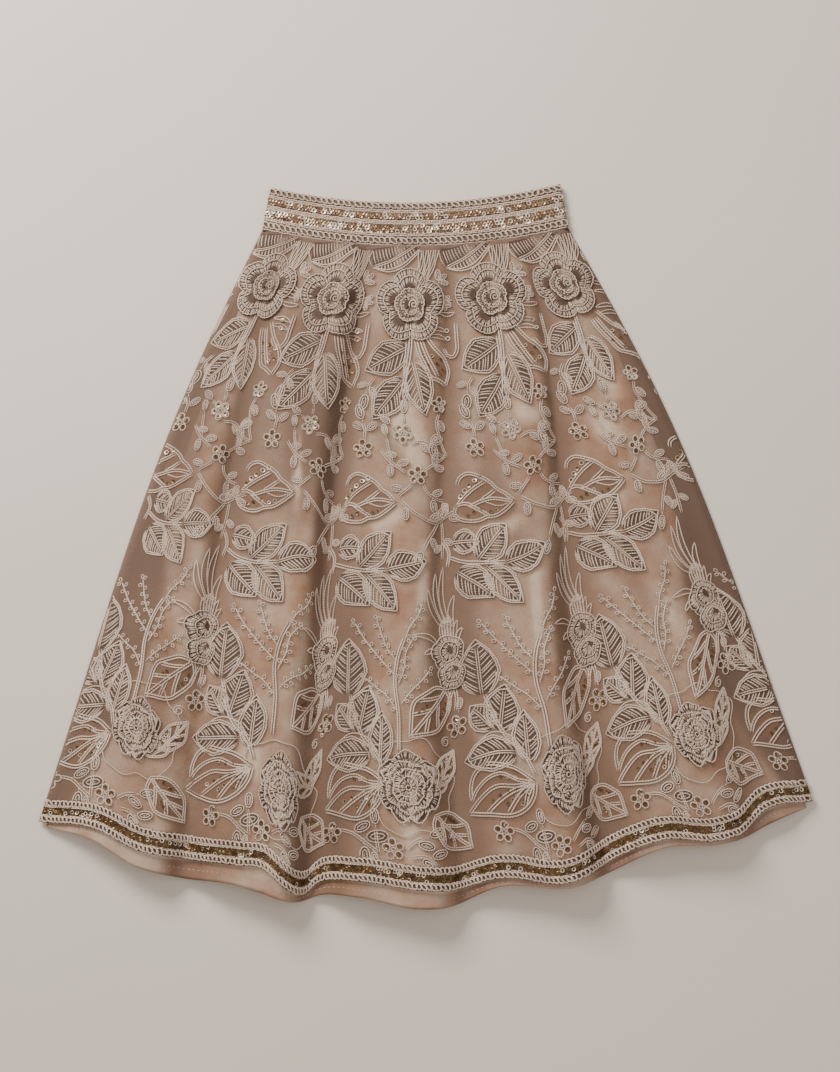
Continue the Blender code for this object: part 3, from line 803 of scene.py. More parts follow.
def blades(roots, tips, width=4.0, bend=0.12):
    """Long narrow blades from roots to tips: a closed outline and a middle line, all bowed."""
    made = Drawing()
    roots, tips = np.array(roots, float), np.array(tips, float)
    span = tips - roots
    aside = np.stack([-span[:, 1], span[:, 0]], -1)
    unit = aside / np.linalg.norm(aside, axis=1, keepdims=True)
    t = np.concatenate([np.linspace(0, 1, 13), np.linspace(1, 0, 13)[1:]])
    half = width / 2 * np.sin(np.pi * t) ** 0.6 * np.where(np.arange(25) < 13, 1, -1)
    bow = bend * np.sin(np.pi * t)
    lines = roots[:, None] + span[:, None] * t[:, None] + aside[:, None] * bow[:, None]
    made.cord(lines + unit[:, None] * half[:, None], VEIN)
    return made


def scallop(reach_x, reach_y, lift, eye, eyelets):
    """A scale with a lobed edge: stitches that fan from its eye, and dark patches of painted shade
    for its openings.
    """

    def lobes(at):
        return 0.88 + 0.12 * np.abs(np.sin(at * 2.5 + 0.8)) ** 0.7

    def half_way(at):
        return 0.58 * lobes(at)

    def foot(at):
        return 0.16 + 0 * at

    def dome(r, at):
        return lift + 0.9 * (1 - r**2)

    made, rounded = Drawing(), Drawing()
    angle = np.linspace(0, 2 * np.pi, 31)
    made.ground(oval_grid((0, 0), reach_x, reach_y, 30, 5, lobes(angle)), lift, "core")
    stitch_ring(rounded, reach_x, foot, lambda at: lobes(at) - 0.05, 2, dome, 0.1, 1.3)
    wavy_edge(rounded, reach_x, lobes, 18, lambda r, at: lift + 0.3 + 0 * r, 49)
    wavy_edge(rounded, reach_x, half_way, 12, lambda r, at: lift + 1.0 + 0 * r, 37)
    for points, width, height in rounded.cords:
        away = np.linalg.norm(points, axis=-1, keepdims=True) / reach_x
        drawn_in = np.array(eye) * np.clip(1 - away, 0, 1)
        made.cord((points / reach_x + drawn_in) * (reach_x, reach_y), width, height)
    for x, y, across, along, turn in eyelets:
        made.hole(across, along, lift + 1.5, (x, y), turn)
    return made


def thistle():
    """A tall flower: two lobed scales, one over another, each with dark patches of painted shade
    for openings near its eye, side blades, a dense neck, long feathery blades, and a forked stem."""
    made = Drawing()
    roots, tips = [(-2, 27), (0, 29), (3, 28), (6, 27)], [(-17, 62), (-8, 76), (1, 81), (9, 54)]
    made.place(blades(roots, tips, 4.8, 0.10))
    neck = np.linspace(-1, 1, 6)
    roots, tips = [(2 + 5 * x, 14) for x in neck], [(2 + 8 * x, 37 - 5 * x * x) for x in neck]
    made.place(blades(roots, tips, 3.4, 0.05))
    eyelets = ((4, 2, 1.8, 4.8, 12), (11, -1, 1.5, 3.8, -16))
    made.place(scallop(16.5, 15.5, 0.3, (0.30, 0.12), eyelets), (-1.5, 5.5), 8)
    eyelets = ((5, 6, 1.5, 3.2, 48),)
    made.place(scallop(14.0, 12.5, 0.7, (0.30, 0.34), eyelets), (1.0, -14.5), -4)
    made.place(blades([(-9, 13), (-10, 7)], [(-31, 21), (-24, 5)], 4.2, -0.14))
    made.place(blades([(9, 13)], [(14, 24)], 3.8, 0.12))
    made.twin([(2, -26), (-2, -36), (-5, -46)], [(4, -26), (5, -36), (3, -45)])
    return made


def berry_spray():
    """A branching stem with small loops on short stalks, in turn on both sides of each branch."""
    made = Drawing()
    made.twin([(0, -6), (-1, 26), (-5, 54), (-1, 80), (4, 92)])
    branches = (
        ((-5, 58), (-21, 72), (-36, 88), (-45, 101)),
        ((-4, 70), (-15, 84), (-19, 93), (-24, 105)),
        ((-2, 50), (4, 66), (5, 78), (12, 92)),
        ((1, 34), (13, 49), (19, 55), (28, 66)),
        ((-2, 28), (-16, 42), (-22, 45), (-35, 54)),
        ((4, 90), (9, 102), (16, 112), (20, 124)),
    )
    for number, branch in enumerate(branches):
        line = through(branch)
        made.cord(line, CORD)
        run = run_along(line)
        knot = np.arange(4.0, run[-1], 4.3)
        knot = knot + 1.1 * np.sin(3.1 * knot + number)
        ahead = line[-1] - line[0]
        end = np.arctan2(ahead[1], ahead[0])
        side = np.where(np.arange(len(knot)) % 2 == number % 2, 1.0, -1.0)
        lean = end + side * (0.95 + 0.3 * np.sin(2.3 * knot))
        centres = on_line(line, run, knot) + polar(lean, 2.9 + 0.5 * np.sin(1.7 * knot))
        made.cord(ovals(centres, 1.75, 1.35, lean, 9), FINE_CORD)
        made.cord(ovals(line[-1] + polar(end, 1.8), 1.9, 1.4, end, 9), FINE_CORD)
    return made


def fan_leaf():
    """A broad leaf that opens to the left from its root: an upper edge that turns a corner, a
    midrib to a low pointed tip, three veins that bow down to the lower edge, and rows of sequins
    between them, on a second layer of net."""
    made = Drawing()
    above = [(-6, 3), (-20, 11), (-34, 16), (-47, 5), (-51, -7)]
    below = [(-54, -16), (-40, -23), (-25, -26), (-10, -19), (-2, -8)]
    made.ground(between(0, np.array(above + below, float), 0.1, 0.97, 8), kind="veil")
    made.twin([(0, 0), (-14, 10), (-24, 13), (-34, 16)])
    made.twin([(-34, 16), (-43, 11), (-48, 3), (-50, -7)])
    made.twin([(-1, -1), (-14, 1), (-24, 6), (-36, 4), (-45, -2), (-50, -8)], apart=1.9)
    made.twin(
        [(-1, -1), (-18, -4), (-30, -3), (-42, -8), (-54, -16)],
        [(-54, -16), (-41, -22), (-25, -26), (-10, -19), (-3, -10), (0, 0)],
    )
    for x, y in ((-41, -21), (-26, -24), (-13, -20)):
        made.twin([(-1, -1), (x * 0.45 - 1, y * 0.38), (x, y)])
    rows = np.array([0.34, 0.46, 0.58, 0.70, 0.82])[:, None]
    for far in ((-44, 7), (-50, -18), (-36, -24), (-20, -24)):
        made.sequin(np.array(far) * rows[: 3 + int(far[1] < 0)])
    return made


def frond():
    """What hangs beside a rose: a narrow open leaf with a hooked tip on its lower right, with
    sequins on a second layer of net, two short blades beside it, and on the left three more and a
    bent strip."""
    made = Drawing()
    left = np.array([(7, -20), (10, -32), (15, -43), (20, -53)], float)
    right = np.array([(14, -14), (22, -27), (31, -38), (35, -48)], float)
    made.ground(between(left, right, 0.05, 0.95, 5), kind="veil")
    middle = [(11, -19), (16, -33), (21, -44), (25, -52)]
    made.twin([*left, (25, -55), (32, -60)], middle, [*right, (32, -60)])
    made.place(blades([(15, -11), (16, -17)], [(32, -13), (32, -20)], 3.2, 0.1))
    roots, tips = [(-30, 14), (-31, 9), (-30, 3)], [(-46, 28), (-48, 17), (-45, 4)]
    made.place(blades(roots, tips, 3.4, 0.1))
    made.twin([(-31, -6), (-33, -20), (-35, -31), (-39, -36), (-44, -34), (-47, -27)])
    made.sequin([(-41, -12), (-41, -19)], 2.0)
    made.sequin([(13, -33), (17, -42), (20, -34), (24, -41), (27, -37), (29, -46), (25, -48)])
    return made


def petal_phase(angle):
    """How far round an outer petal an angle lies: 0 at its middle and 0.5 or -0.5 at its sides."""
    return ((angle - ROSE_TURN) * PETALS / (2 * np.pi)) % 1 - 0.5


def petal_reach(angle):
    """Round petals of unlike sizes: the edge dips where two petals meet."""
    lobe = np.abs(np.sin((angle - ROSE_TURN) * PETALS / 2)) ** 0.5
    return (0.76 + 0.24 * lobe) * (0.98 + 0.02 * np.sin(2 * angle + 1))


def rose_dome(share, angle):
    """The height of a waist rose in millimetres: outer petals, each a low mound, that rise from
    under a higher ring of inner ones."""
    lobe = np.abs(np.sin((angle - ROSE_TURN) * PETALS / 2)) ** 0.5
    outer = 0.5 + 1.4 * lobe * np.sin(np.pi * np.clip((share - 0.42) / 0.66, 0, 1))
    return np.maximum(outer, 2.4 * np.clip((0.44 - share) / 0.06, 0, 1))


def stitch_ring(made, radius, foot, rim, rows, height, swirl, pitch):
    """Rows of short stitches between two wavy rings, which foot and rim give as shares of the
    radius at each angle. Stitches of a row stand about a pitch apart, and each leans by swirl
    times a slow wave of its angle. height gives a stitch's height from its share and angle."""
    turn = np.linspace(0, 2 * np.pi, 73)
    for row in range(rows):
        middle = (foot(turn) + (rim(turn) - foot(turn)) * (row + 0.5) / rows).mean()
        count = int(2 * np.pi * radius * middle / pitch)
        number = np.arange(count)
        angle = (number + 0.5 * row + 0.28 * np.sin(number * 2.4 + row)) * 2 * np.pi / count
        share = (row + np.array([0.03, 0.5, 0.93])) / rows
        reach = foot(angle)[:, None] + (rim(angle) - foot(angle))[:, None] * share
        leaning = angle[:, None] + swirl * np.sin(3 * angle + row)[:, None] * share
        made.cord(polar(leaning, radius * reach), VEIN, height(reach, leaning))


def wavy_edge(made, radius, rim, beads, height, count=121):
    """A cord along a ring, beaded by a small quick wave."""
    around = np.linspace(0, 2 * np.pi, count)
    reach = rim(around) + 0.012 * np.sin(around * beads)
    made.cord(polar(around, radius * reach), VEIN, height(reach, around))


def rose(radius=33.0):
    """A corded rose: two rows of stitches climb each of five round outer petals, a dark
    crescent of painted shade marks an opening at each petal's foot, and a smaller lobed flower with
    an off-centre coil beside another such crescent lies on the middle."""
    made = Drawing()
    angle, share = np.linspace(0, 2 * np.pi, 61), np.linspace(0.06, 1, 16)[:, None]
    height = rose_dome(share * petal_reach(angle), angle) * np.clip((1 - share) / 0.08, 0.2, 1)
    made.ground(oval_grid((0, 0), radius, radius, 60, 15, petal_reach(angle)), height, "core")

    def foot(at):
        deep = 0.15 + 0.06 * np.sin(2 * at + 0.6)
        return PETAL_FOOT + deep * np.clip(1 - (petal_phase(at) / 0.30) ** 2, 0, 1) ** 0.5

    def rim(at):
        return petal_reach(at) - 0.035

    def middle(at):
        return (foot(at) + petal_reach(at)) / 2 - 0.015

    stitch_ring(made, radius, foot, rim, 2, lambda r, at: rose_dome(r, at) + 0.1, 0.05, 1.52)
    wavy_edge(made, radius, lambda at: petal_reach(at) - 0.03, 46, rose_dome)
    wavy_edge(made, radius, middle, 40, lambda r, at: rose_dome(r, at) + 0.3)
    for at in ROSE_TURN + (np.arange(PETALS) + 0.5) * 2 * np.pi / PETALS:
        deep = foot(np.array(at)) - PETAL_FOOT
        spot = polar(at, (PETAL_FOOT + deep / 2) * radius)
        made.hole(radius * deep * 0.42, radius * 0.14, 1.6, spot, np.degrees(at), rings=2)
    for edge, lobes, inside, rows in ((0.42, 5, 0.22, 2), (0.25, 3, 0.13, 1)):
        lifted = 2.9 - 2 * edge

        def rim(at):
            return edge - 0.07 + 0.07 * np.abs(np.sin(at * lobes / 2 + 0.4)) ** 0.6

        def foot(at):
            return inside + 0 * at

        def flat(r, at):
            return lifted + 0 * r

        stitch_ring(made, radius, foot, lambda at: rim(at) - 0.01, rows, flat, 0.10, 1.6)
        wavy_edge(made, radius, rim, 24, lambda r, at: lifted + 0.2 + 0 * r, 73)
    coil = np.linspace(0, 3.2 * np.pi, 24)
    made.cord(np.array([3.0, 0.5]) + polar(coil, 0.6 + 0.36 * coil), VEIN, 3.1)
    made.hole(1.7, 3.6, 3.0, (-3.6, 0.5))
    made.hole(1.3, 3.0, 2.9, (9.4, -1.0))
    made.hole(2.6, 1.2, 2.9, (1.0, -8.4))
    return made


def ruffle_dome(share):
    """The height of a full rose in millimetres, highest in the middle."""
    return 0.4 + 1.5 * (1 - share**2)


def ruffled_rose(radius=33.0):
    """A full rose: four rings of uneven lobed petals, one over another, each of short leaning
    stitches below a beaded edge, with slits between some, and a coiled heart."""
    made = Drawing()
    share = np.linspace(0.06, 1, 9)[:, None]
    edge = radius * 0.93
    made.ground(oval_grid((0, 0), edge, edge, 40, 8), ruffle_dome(share), "core")
    rings = (
        # inner, outer, petals, rows, turn
        (0.58, 0.98, 7, 2, 0.3),
        (0.39, 0.72, 5, 2, 1.5),
        (0.20, 0.50, 5, 1, 0.9),
        (0.10, 0.30, 3, 1, 0.2),
    )
    for inner, outer, petals, rows, turn in rings:

        def rim(at):
            lobe = np.abs(np.sin((at - turn) * petals / 2 + 0.7 * np.sin(at + 5 * turn)))
            return outer * (0.80 + 0.20 * lobe**0.6) * (1 + 0.03 * np.sin(at * 11 + 7 * turn))

        def foot(at):
            return inner * (1 + 0.10 * np.sin(at * 7 + turn))

        def above(r, at):
            return ruffle_dome(r) + 0.4 + 0.5 * np.clip((r - inner) / (outer - inner), 0, 1)

        stitch_ring(made, radius, foot, lambda at: rim(at) - 0.02, rows, above, 0.26, 1.55)
        wavy_edge(made, radius, rim, int(outer * 50), above, int(outer * 120))
    coil = np.linspace(0, 2.4 * np.pi, 18)
    made.cord(polar(coil, 0.8 + 0.40 * coil), VEIN, 2.7)
    slits = (
        # x, y, along, aside, turn
        (1, 7, 1.2, 3.4, 60),
        (-9, -2, 2.0, 4.2, 15),
        (11, -9, 1.6, 4.0, -40),
        (-4, -19, 1.5, 4.4, 75),
        (15, 10, 1.5, 3.6, 45),
    )
    for x, y, along, aside, turn in slits:
        made.hole(along, aside, 2.7, (x, y), turn, spokes=8)
    return made


def halo():
    """A thin wavy cord most of the way round a hem rose."""
    angle = np.linspace(-0.75 * np.pi, 0.85 * np.pi, 70)
    made = Drawing()
    made.cord(polar(angle, 40 + 2.6 * np.sin(angle * 6) + 1.2 * np.sin(angle * 11)), FINE_CORD)
    return made


def trio():
    """Three veined leaves that hang from one thick joint."""
    leaves = (
        (44, 29, -0.05, (-2, 2), 115),
        (46, 28, 0.05, (-5, -24), 143),
        (48, 27, 0.05, (2, -8), 197),
    )
    return leafy(leaves, ([(1, 14), (0, 0), (-4, -22), (-8, -40)], [(-2, 8), (-3, -4), (-5, -20)]))


def sprig():
    """Five veined leaves on a lying stem: three above it and two below."""
    leaves = (
        (26, 23, 0.05, (-34, 20), -94),
        (45, 29, -0.05, (-12, 1), -44),
        (40, 29, 0.05, (14, 0), -70),
        (42, 31, -0.05, (-32, -6), -133),
        (45, 30, 0.05, (-6, -5), -130),
    )
    stems = ([(-38, 8), (-25, 1), (-10, -2), (14, 0)], [(-44, 24), (-38, 12), (-41, 0)])
    return leafy(leaves, stems)


def upright_leaves():
    """Leaves on one rising stem beside a hem rose: three that stand, one folded, and one that lies
    to the left."""
    leaves = (
        (50, 36, 0.02, (-56, 76), 1),
        (43, 31, 0.05, (-45, 44), -9),
        (29, 24, 0.05, (-50, 46), 40),
        (46, 25, 0.05, (-24, 20), 2),
        (45, 31, -0.05, (-34, 27), 93),
    )
    made = leafy(leaves, [[(-20, 10), (-26, 24), (-42, 42), (-54, 76)]])
    made.cord(through([(-66, 34), (-52, 43), (-36, 40), (-26, 26)]))
    return made


def band_leaf():
    """The lower part of a broad leaf that comes out from under the waistband: a slanted double
    midrib to its tip at the left, long veins that rise from the midrib under the band, short ones
    that fall from it to a double lower edge, and an outline that rises from the tip."""
    made = Drawing()
    rib = evened(through([(20, 6), (9, -3), (-3, -11), (-17, -17)]), 17)
    edge = evened(through([(23, 1), (16, -8), (7, -17), (-5, -20.5), (-17, -17)]), 17)
    above = np.stack([rib[:, 0] * 1.08 - 2.5, np.full(17, 8.0)], -1)
    made.ground(between(rib, edge, 0.02, 0.97, 5))
    made.ground(between(above, rib, 0, 1, 7))
    made.cord(np.stack([rib + (0, 0.9), rib - (0, 0.9)]), VEIN, 0.15)
    made.cord(np.stack([edge, edge + (rib - edge) * 0.24]), TWIN)
    made.cord([(-17, -17), (-20.5, -11), (-21.5, -3), (-20, 8)], TWIN)
    step = np.linspace(0, 1, 5)[:, None]
    bow = np.sin(np.pi * step) * (-1.6, 0)
    for foot, crown, low in zip(rib[2:-1], above[2:-1], edge[2:-1]):
        made.cord(foot + (0, 1.6) + (crown - foot) * step + bow, VEIN)
        if np.linalg.norm(low - foot) > 4:
            made.cord(foot - (0, 1.5) + (low - foot) * 0.62 * step + bow * 0.3, VEIN)
    return made


def band_stalks():
    """Close lines that run down from the waistband and lean in to a rose."""
    made = Drawing()
    x, y = np.arange(-10.0, 10.5, 2.5)[:, None], np.linspace(22, -24, 10)
    lean = x * (0.74 + 0.010 * y) - 0.006 * (22 - y) ** 2 + 0.4 * np.sin(y / 3 + x)
    lines = np.stack([lean, np.broadcast_to(y, lean.shape)], -1)
    made.ground(lines[::-1])
    made.cord(lines, VEIN, 0.2)
    return made


def flower_vines():
    """The flowering stems between two rows of leaves."""
    stems = (
        (
            ((-25, 0), (-17, -10), (-6, -17), (1, -21)),
            ((0.15, 1, 0.9), (0.45, -1, 1), (0.62, 1, 1)),
        ),
        (((-13, -12), (-17, 2), (-19, 12)), ((1, 0, 0.9),)),
        (((19, -18), (30, -10), (44, -3)), ((0.3, -1, 1),)),
        (
            ((5, 8), (17, 10), (27, 5), (37, -3), (44, -4)),
            ((0.2, -1, 0.9), (0.42, 1, 1.15), (0.62, -1, 1)),
        ),
        (((34, 39), (31, 28), (34, 18), (38, 6), (44, -4)), ((0.12, 1, 1), (0.42, -1, 1))),
        (((8, -32), (2, -38), (-6, -45)), ((0.5, -1, 1),)),
        (((18, -31), (22, -39), (30, -44), (42, -47)), ((0.4, 1, 1), (0.5, -1, 1.1), (0.9, -1, 1))),
        (((-1, 27), (-1, 34)), ((1, 0, 1.1),)),
        (((-9, 22), (-13, 25)), ((1, 0, 1),)),
        (((-41, 10), (-40, 18), (-42, 26)), ((0.4, -1, 1), (0.5, 1, 1), (1, 0, 1.3))),
        (((-30, 72), (-36, 64), (-38, 58)), ((0.5, -1, 0.9), (0.6, 1, 1), (1, 0, 1.35))),
        (((32, -14), (31, -10)), ((1, 0, 1.3),)),
    )
    flowers = (
        (-2, 17, 10.6, True),
        (-42, 0, 10.2, False),
        (12.6, -23, 10, False),
        (34, 47, 8.6, True),
    )
    return vine(stems, flowers)


def low_vines():
    """The stems and buds under the lying leaves."""
    stems = (
        (
            ((-24, 20), (-10, 8), (4, 2), (18, 8), (28, 12)),
            ((0.1, -1, 0.9), (0.45, 1, 1), (0.6, 1, 1), (0.75, 1, 0.9), (0.8, -1, 0.9)),
        ),
        (((8, 3), (0, -10), (-6, -22)), ((0.5, 1, 0.9), (1, 0, 1))),
        (((12, 4), (13, -12), (12, -30)), ((0.45, 1, 0.8), (0.6, -1, 0.8))),
    )
    return vine(stems, ())


def hem_vines():
    """The flowering stems just above the trim."""
    stems = (
        (
            ((-56, 2), (-46, 0), (-34, -8), (-24, -14)),
            ((0.25, 1, 1.2), (0.5, 1, 1.6), (0.6, -1, 1.3), (0.85, -1, 0.9)),
        ),
        (((-24, -14), (-26, -4), (-27, 6)), ((1, 0, 1.1),)),
        (((-2, -8), (6, 0), (14, 4)), ((0.5, -1, 1.1), (1, 0, 1.1))),
        (((2, -14), (14, -12), (24, -20)), ((0.3, -1, 1.1), (0.6, 1, 1.1), (1, 0, 1.2))),
    )
    return vine(stems, ((-64, -1, 9.8, True), (-12, -9, 10, False)))


# What each kind's piece is sewn from.
MAKERS = {
    "applique": (rose, ruffled_rose, trio, sprig),
    "leaf": (thistle, upright_leaves, lying_leaf, fan_leaf, band_leaf, band_stalks, frond),
    "vine": (berry_spray, halo, curl, loops, flower_vines, low_vines, hem_vines),
}
DRAWINGS = {draw.__name__: draw() for makers in MAKERS.values() for draw in makers}
DRAWINGS |= {"long_open_leaf": open_leaf(56, 32), "blossom": blossom(10.2), "bud": bud(13, 8, 3)}
KINDS = {draw.__name__: kind for kind, makers in MAKERS.items() for draw in makers}
KINDS |= {"long_open_leaf": "leaf", "blossom": "vine", "bud": "vine"}

# One repeat of the lace, from the waistband down. x is in repeats from the repeat's middle line
# and turn in degrees.
LAYOUT = (
    # drawing, x, down, turn, size
    ("band_leaf", 0.84, 0.007, -2, 1.08),
    ("band_stalks", 0.35, 0.030, 0, 1.0),
    ("loops", 0.42, 0.060, 35, 1.0),
    ("loops", 0.45, 0.094, -20, 0.9),
    ("frond", 0.03, 0.120, 0, 1.06),
    ("flower_vines", 0.00, 0.338, 0, 0.92),
    ("lying_leaf", -0.09, 0.421, 0, 1.0),
    ("low_vines", 0.19, 0.452, 0, 1.0),
    ("thistle", 0.30, 0.659, 2, 1.0),
    ("berry_spray", -0.07, 0.791, 0, 1.0),
    ("upright_leaves", -0.03, 0.858, 0, 1.0),
    ("long_open_leaf", 0.27, 0.702, 142, 1.0),
    ("blossom", 0.335, 0.762, 10, 1.0),
    ("bud", 0.35, 0.742, -12, 0.8),
    ("curl", 0.24, 0.782, 30, 1.0),
    ("fan_leaf", -0.19, 0.850, 8, 1.12),
    ("long_open_leaf", 0.18, 0.846, -30, 0.60),
    ("long_open_leaf", 0.24, 0.842, -96, -0.62),
    ("long_open_leaf", 0.16, 0.890, -132, 0.86),
    ("hem_vines", 0.00, 0.930, 0, 1.0),
)

# Where the repeats' middle lines run across, from waist roses to hem roses, with one more repeat
# past each side seam, of which only a part is left.
MIDDLES = (
    # waist, hem
    (-0.100, -0.080),
    (0.087, 0.095),
    (0.268, 0.300),
    (0.465, 0.477),
    (0.692, 0.694),
    (0.908, 0.878),
    (1.115, 1.065),
)


def middle_line(repeat, down):
    """Where a repeat's middle line lies across: straight from its waist rose to its hem rose."""
    return float(np.interp(down, (WAIST_ROSES[0][1], HEM_ROSES[2][1]), MIDDLES[repeat]))


def placed_drawings():
    """(drawing's name, (across, down), turn, (width's size, height's size)) of all that is sewn."""
    last = len(MIDDLES) - 1
    for repeat in range(last + 1):
        for name, x, down, turn, size in LAYOUT:
            side = 1 if x >= 0 else -1
            beside = repeat + side if 0 <= repeat + side <= last else repeat - side
            middle = middle_line(repeat, down)
            gap = abs(middle_line(beside, down) - middle)
            squeeze = np.clip(gap * 5, 0.86, 1.04) * (0.92 if name == "flower_vines" else 1)
            yield name, (middle + x * gap, down), turn, (size * squeeze, abs(size))
    for name, places, width, height in (
        ("rose", WAIST_ROSES, 33.0, 33.0),
        ("trio", LEAF_TRIOS, 36.0, 54.0),
        ("sprig", LEAF_SPRIGS, 44.0, 42.0),
        ("ruffled_rose", HEM_ROSES, 33.5, 33.5),
    ):
        for across, down, half_width, half_height in places:
            yield name, (across, down), 0, (half_width / MM / width, half_height / MM / height)
    for across, down, *_ in HEM_ROSES:
        yield "halo", (across, down), 0, (1.0, 1.0)


# ---------------------------------------------------------------- finishes


def tints(*colours):
    """Colours given as they look on a screen, 0 to 255, as the linear values that shaders use."""
    share = np.array(colours) / 255
    linear = np.where(share <= 0.04045, share / 12.92, ((share + 0.055) / 1.055) ** 2.4)
    return [(*colour, 1.0) for colour in linear.tolist()]


def operator(operation, swapped=False):
    """A Wire's method that adds a Math node."""

    def method(self, other):
        pair = (other, self) if swapped else (self, other)
        return self.finish.math(operation, *pair)

    return method


class Wire:
    """A socket's value in a finish. + - * and ** add Math nodes, with a plain number first too."""

    def __init__(self, finish, socket):
        self.finish, self.socket = finish, socket

    __add__, __radd__ = operator("ADD"), operator("ADD", True)
    __sub__, __rsub__ = operator("SUBTRACT"), operator("SUBTRACT", True)
    __mul__, __rmul__ = operator("MULTIPLY"), operator("MULTIPLY", True)
    __pow__ = operator("POWER")


class Finish:
    """A material that is built node by node round its Principled shader."""

    def __init__(self, name, **constants):
        self.material = bpy.data.materials.new(name)
        self.material.use_nodes = True
        self.tree = self.material.node_tree
        self.shader = self.tree.nodes["Principled BSDF"]
        for socket, value in constants.items():
            self.shader.inputs[socket.replace("_", " ")].default_value = value

    def node(self, kind, settings, inputs, output=0):
        """Adds a node: its settings first, then its sockets' values or links. Gives an output."""
        made = self.tree.nodes.new(kind)
        for name, value in settings.items():
            setattr(made, name, value)
        for name, value in inputs.items():
            self.join(value, made.inputs[name])
        return Wire(self, made.outputs[output])

    def join(self, value, socket):
        if isinstance(value, Wire):
            self.tree.links.new(value.socket, socket)
        else:
            socket.default_value = value

    def math(self, operation, first, second=0.0):
        return self.node("ShaderNodeMath", {"operation": operation}, {0: first, 1: second})

    def clamped(self, value, low=0.0, high=1.0):
        return self.math("MINIMUM", self.math("MAXIMUM", value, low), high)

    def wave(self, turns):
        """A sine wave from 0 to 1 over each whole turn."""
        return self.math("SINE", turns * (2 * np.pi)) * 0.5 + 0.5

    def blend(self, factor, first, second):
        settings = {"data_type": "RGBA", "blend_type": "MIX"}
        return self.node("ShaderNodeMix", settings, {0: factor, 6: first, 7: second}, 2)

    def attribute(self, name):
        return self.node("ShaderNodeAttribute", {"attribute_name": name}, {}, "Fac")

    def place(self, kind="Object"):
        return self.node("ShaderNodeTexCoord", {}, {}, kind)

    def noise(self, scale, detail=2.0):
        """Noise that mostly lies between 0.25 and 0.75, over the object's own place."""
        inputs = {"Scale": scale, "Detail": detail, "Vector": self.place()}
        return self.node("ShaderNodeTexNoise", {}, inputs, 0)

    def parts(self, vector):
        split = self.node("ShaderNodeSeparateXYZ", {}, {"Vector": vector}).socket.node
        return [Wire(self, split.outputs[i]) for i in range(3)]

    def bump(self, height, distance, strength=1.0):
        inputs = {"Height": height, "Distance": distance, "Strength": strength}
        return self.node("ShaderNodeBump", {}, inputs)

    def feed(self, **sockets):
        for name, value in sockets.items():
            self.join(value, self.shader.inputs[name.replace("_", " ")])
        return self.material


def thread_finish(name, shade, dark, light):
    """Twisted thread: slanting plies along the cord, painted shade on its flanks, and a tone that
    differs from cord to cord, drifts over the cloth and carries the painted shade and highlights of
    the cloth under it."""
    finish = Finish(name, Sheen_Weight=0.15, Sheen_Roughness=0.5)
    across, along, _ = finish.parts(finish.place("UV"))
    ply = finish.wave(along * 4.2 + across * 0.8)
    fuzz = finish.noise(700.0, 2.0)
    drift = finish.noise(30.0, 3.0)
    tone = finish.attribute("tone") * 0.40 + ply * 0.40 + fuzz * 0.45 + drift * 0.35 - 0.24
    # Painted shade on the cord's flanks, across its UV.
    flank_shade = finish.math("ABSOLUTE", across * 2.0 - 1.0) ** 2.0
    colour = finish.blend(finish.clamped(tone), dark, light)
    colour = finish.blend(flank_shade * 0.84, colour, shade)
    return finish.feed(
        Base_Color=colour,
        Roughness=0.70 + 0.15 * fuzz,
        Normal=finish.bump(ply + fuzz * 0.6, 0.0003, 0.8),
    )


def satin_finish():
    """Satin: a faint weave, small puckers, and a colour that clouds at random, its pale patches
    partly painted sheen, with painted shade where the tone is above 0 and painted highlights where
    it is below 0.
    """
    finish = Finish("blush_satin", Sheen_Weight=0.2, Sheen_Roughness=0.35)
    x, y, _ = finish.parts(finish.place())
    drift = finish.noise(30.0, 3.0)
    puckers = finish.noise(60.0, 3.0)
    shade = finish.attribute("tone")
    weave = finish.wave(x * 1500.0) * finish.wave(y * 1500.0)
    # The cloud is random drift, paled further by the painted highlights where the tone is below 0.
    cloud = finish.clamped(drift * 2.8 - 0.90 - finish.clamped(shade, -1.0, 0.0))
    colour = finish.blend(cloud, SATIN_DEEP, SATIN_PALE_AND_GLEAM)
    # Painted shade where the tone is above 0.
    colour = finish.blend(finish.clamped(shade), colour, SATIN_SHADE)
    return finish.feed(
        Base_Color=colour,
        Roughness=0.30 + 0.16 * puckers,
        Normal=finish.bump(puckers + drift + weave * 0.03, 0.0022, 0.6),
    )


def net_finish(name, light, dark, cover):
    """Fine net: two sets of slanting threads leave small open meshes. The piece's tone says how
    far the net gathers or folds on itself there and carries painted shade, which both close and
    darken it; below 0, where highlights are painted, it opens the net."""
    finish = Finish(name, Sheen_Weight=0.1)
    across, down, _ = finish.parts(finish.place("UV"))
    slants = finish.wave(across + down * 0.6), finish.wave(across - down * 0.6)
    thread = finish.math("MAXIMUM", *slants)
    folded_and_shaded = finish.attribute("tone")
    cloud = finish.noise(22.0, 4.0)
    covered = cover - 0.09 + 0.16 * thread + 0.62 * folded_and_shaded + 0.22 * cloud
    return finish.feed(
        Base_Color=finish.blend(folded_and_shaded, light, dark),
        Roughness=0.80,
        Alpha=finish.clamped(covered, 0.06, 0.95),
        Normal=finish.bump(thread, 0.00015, 0.4),
    )


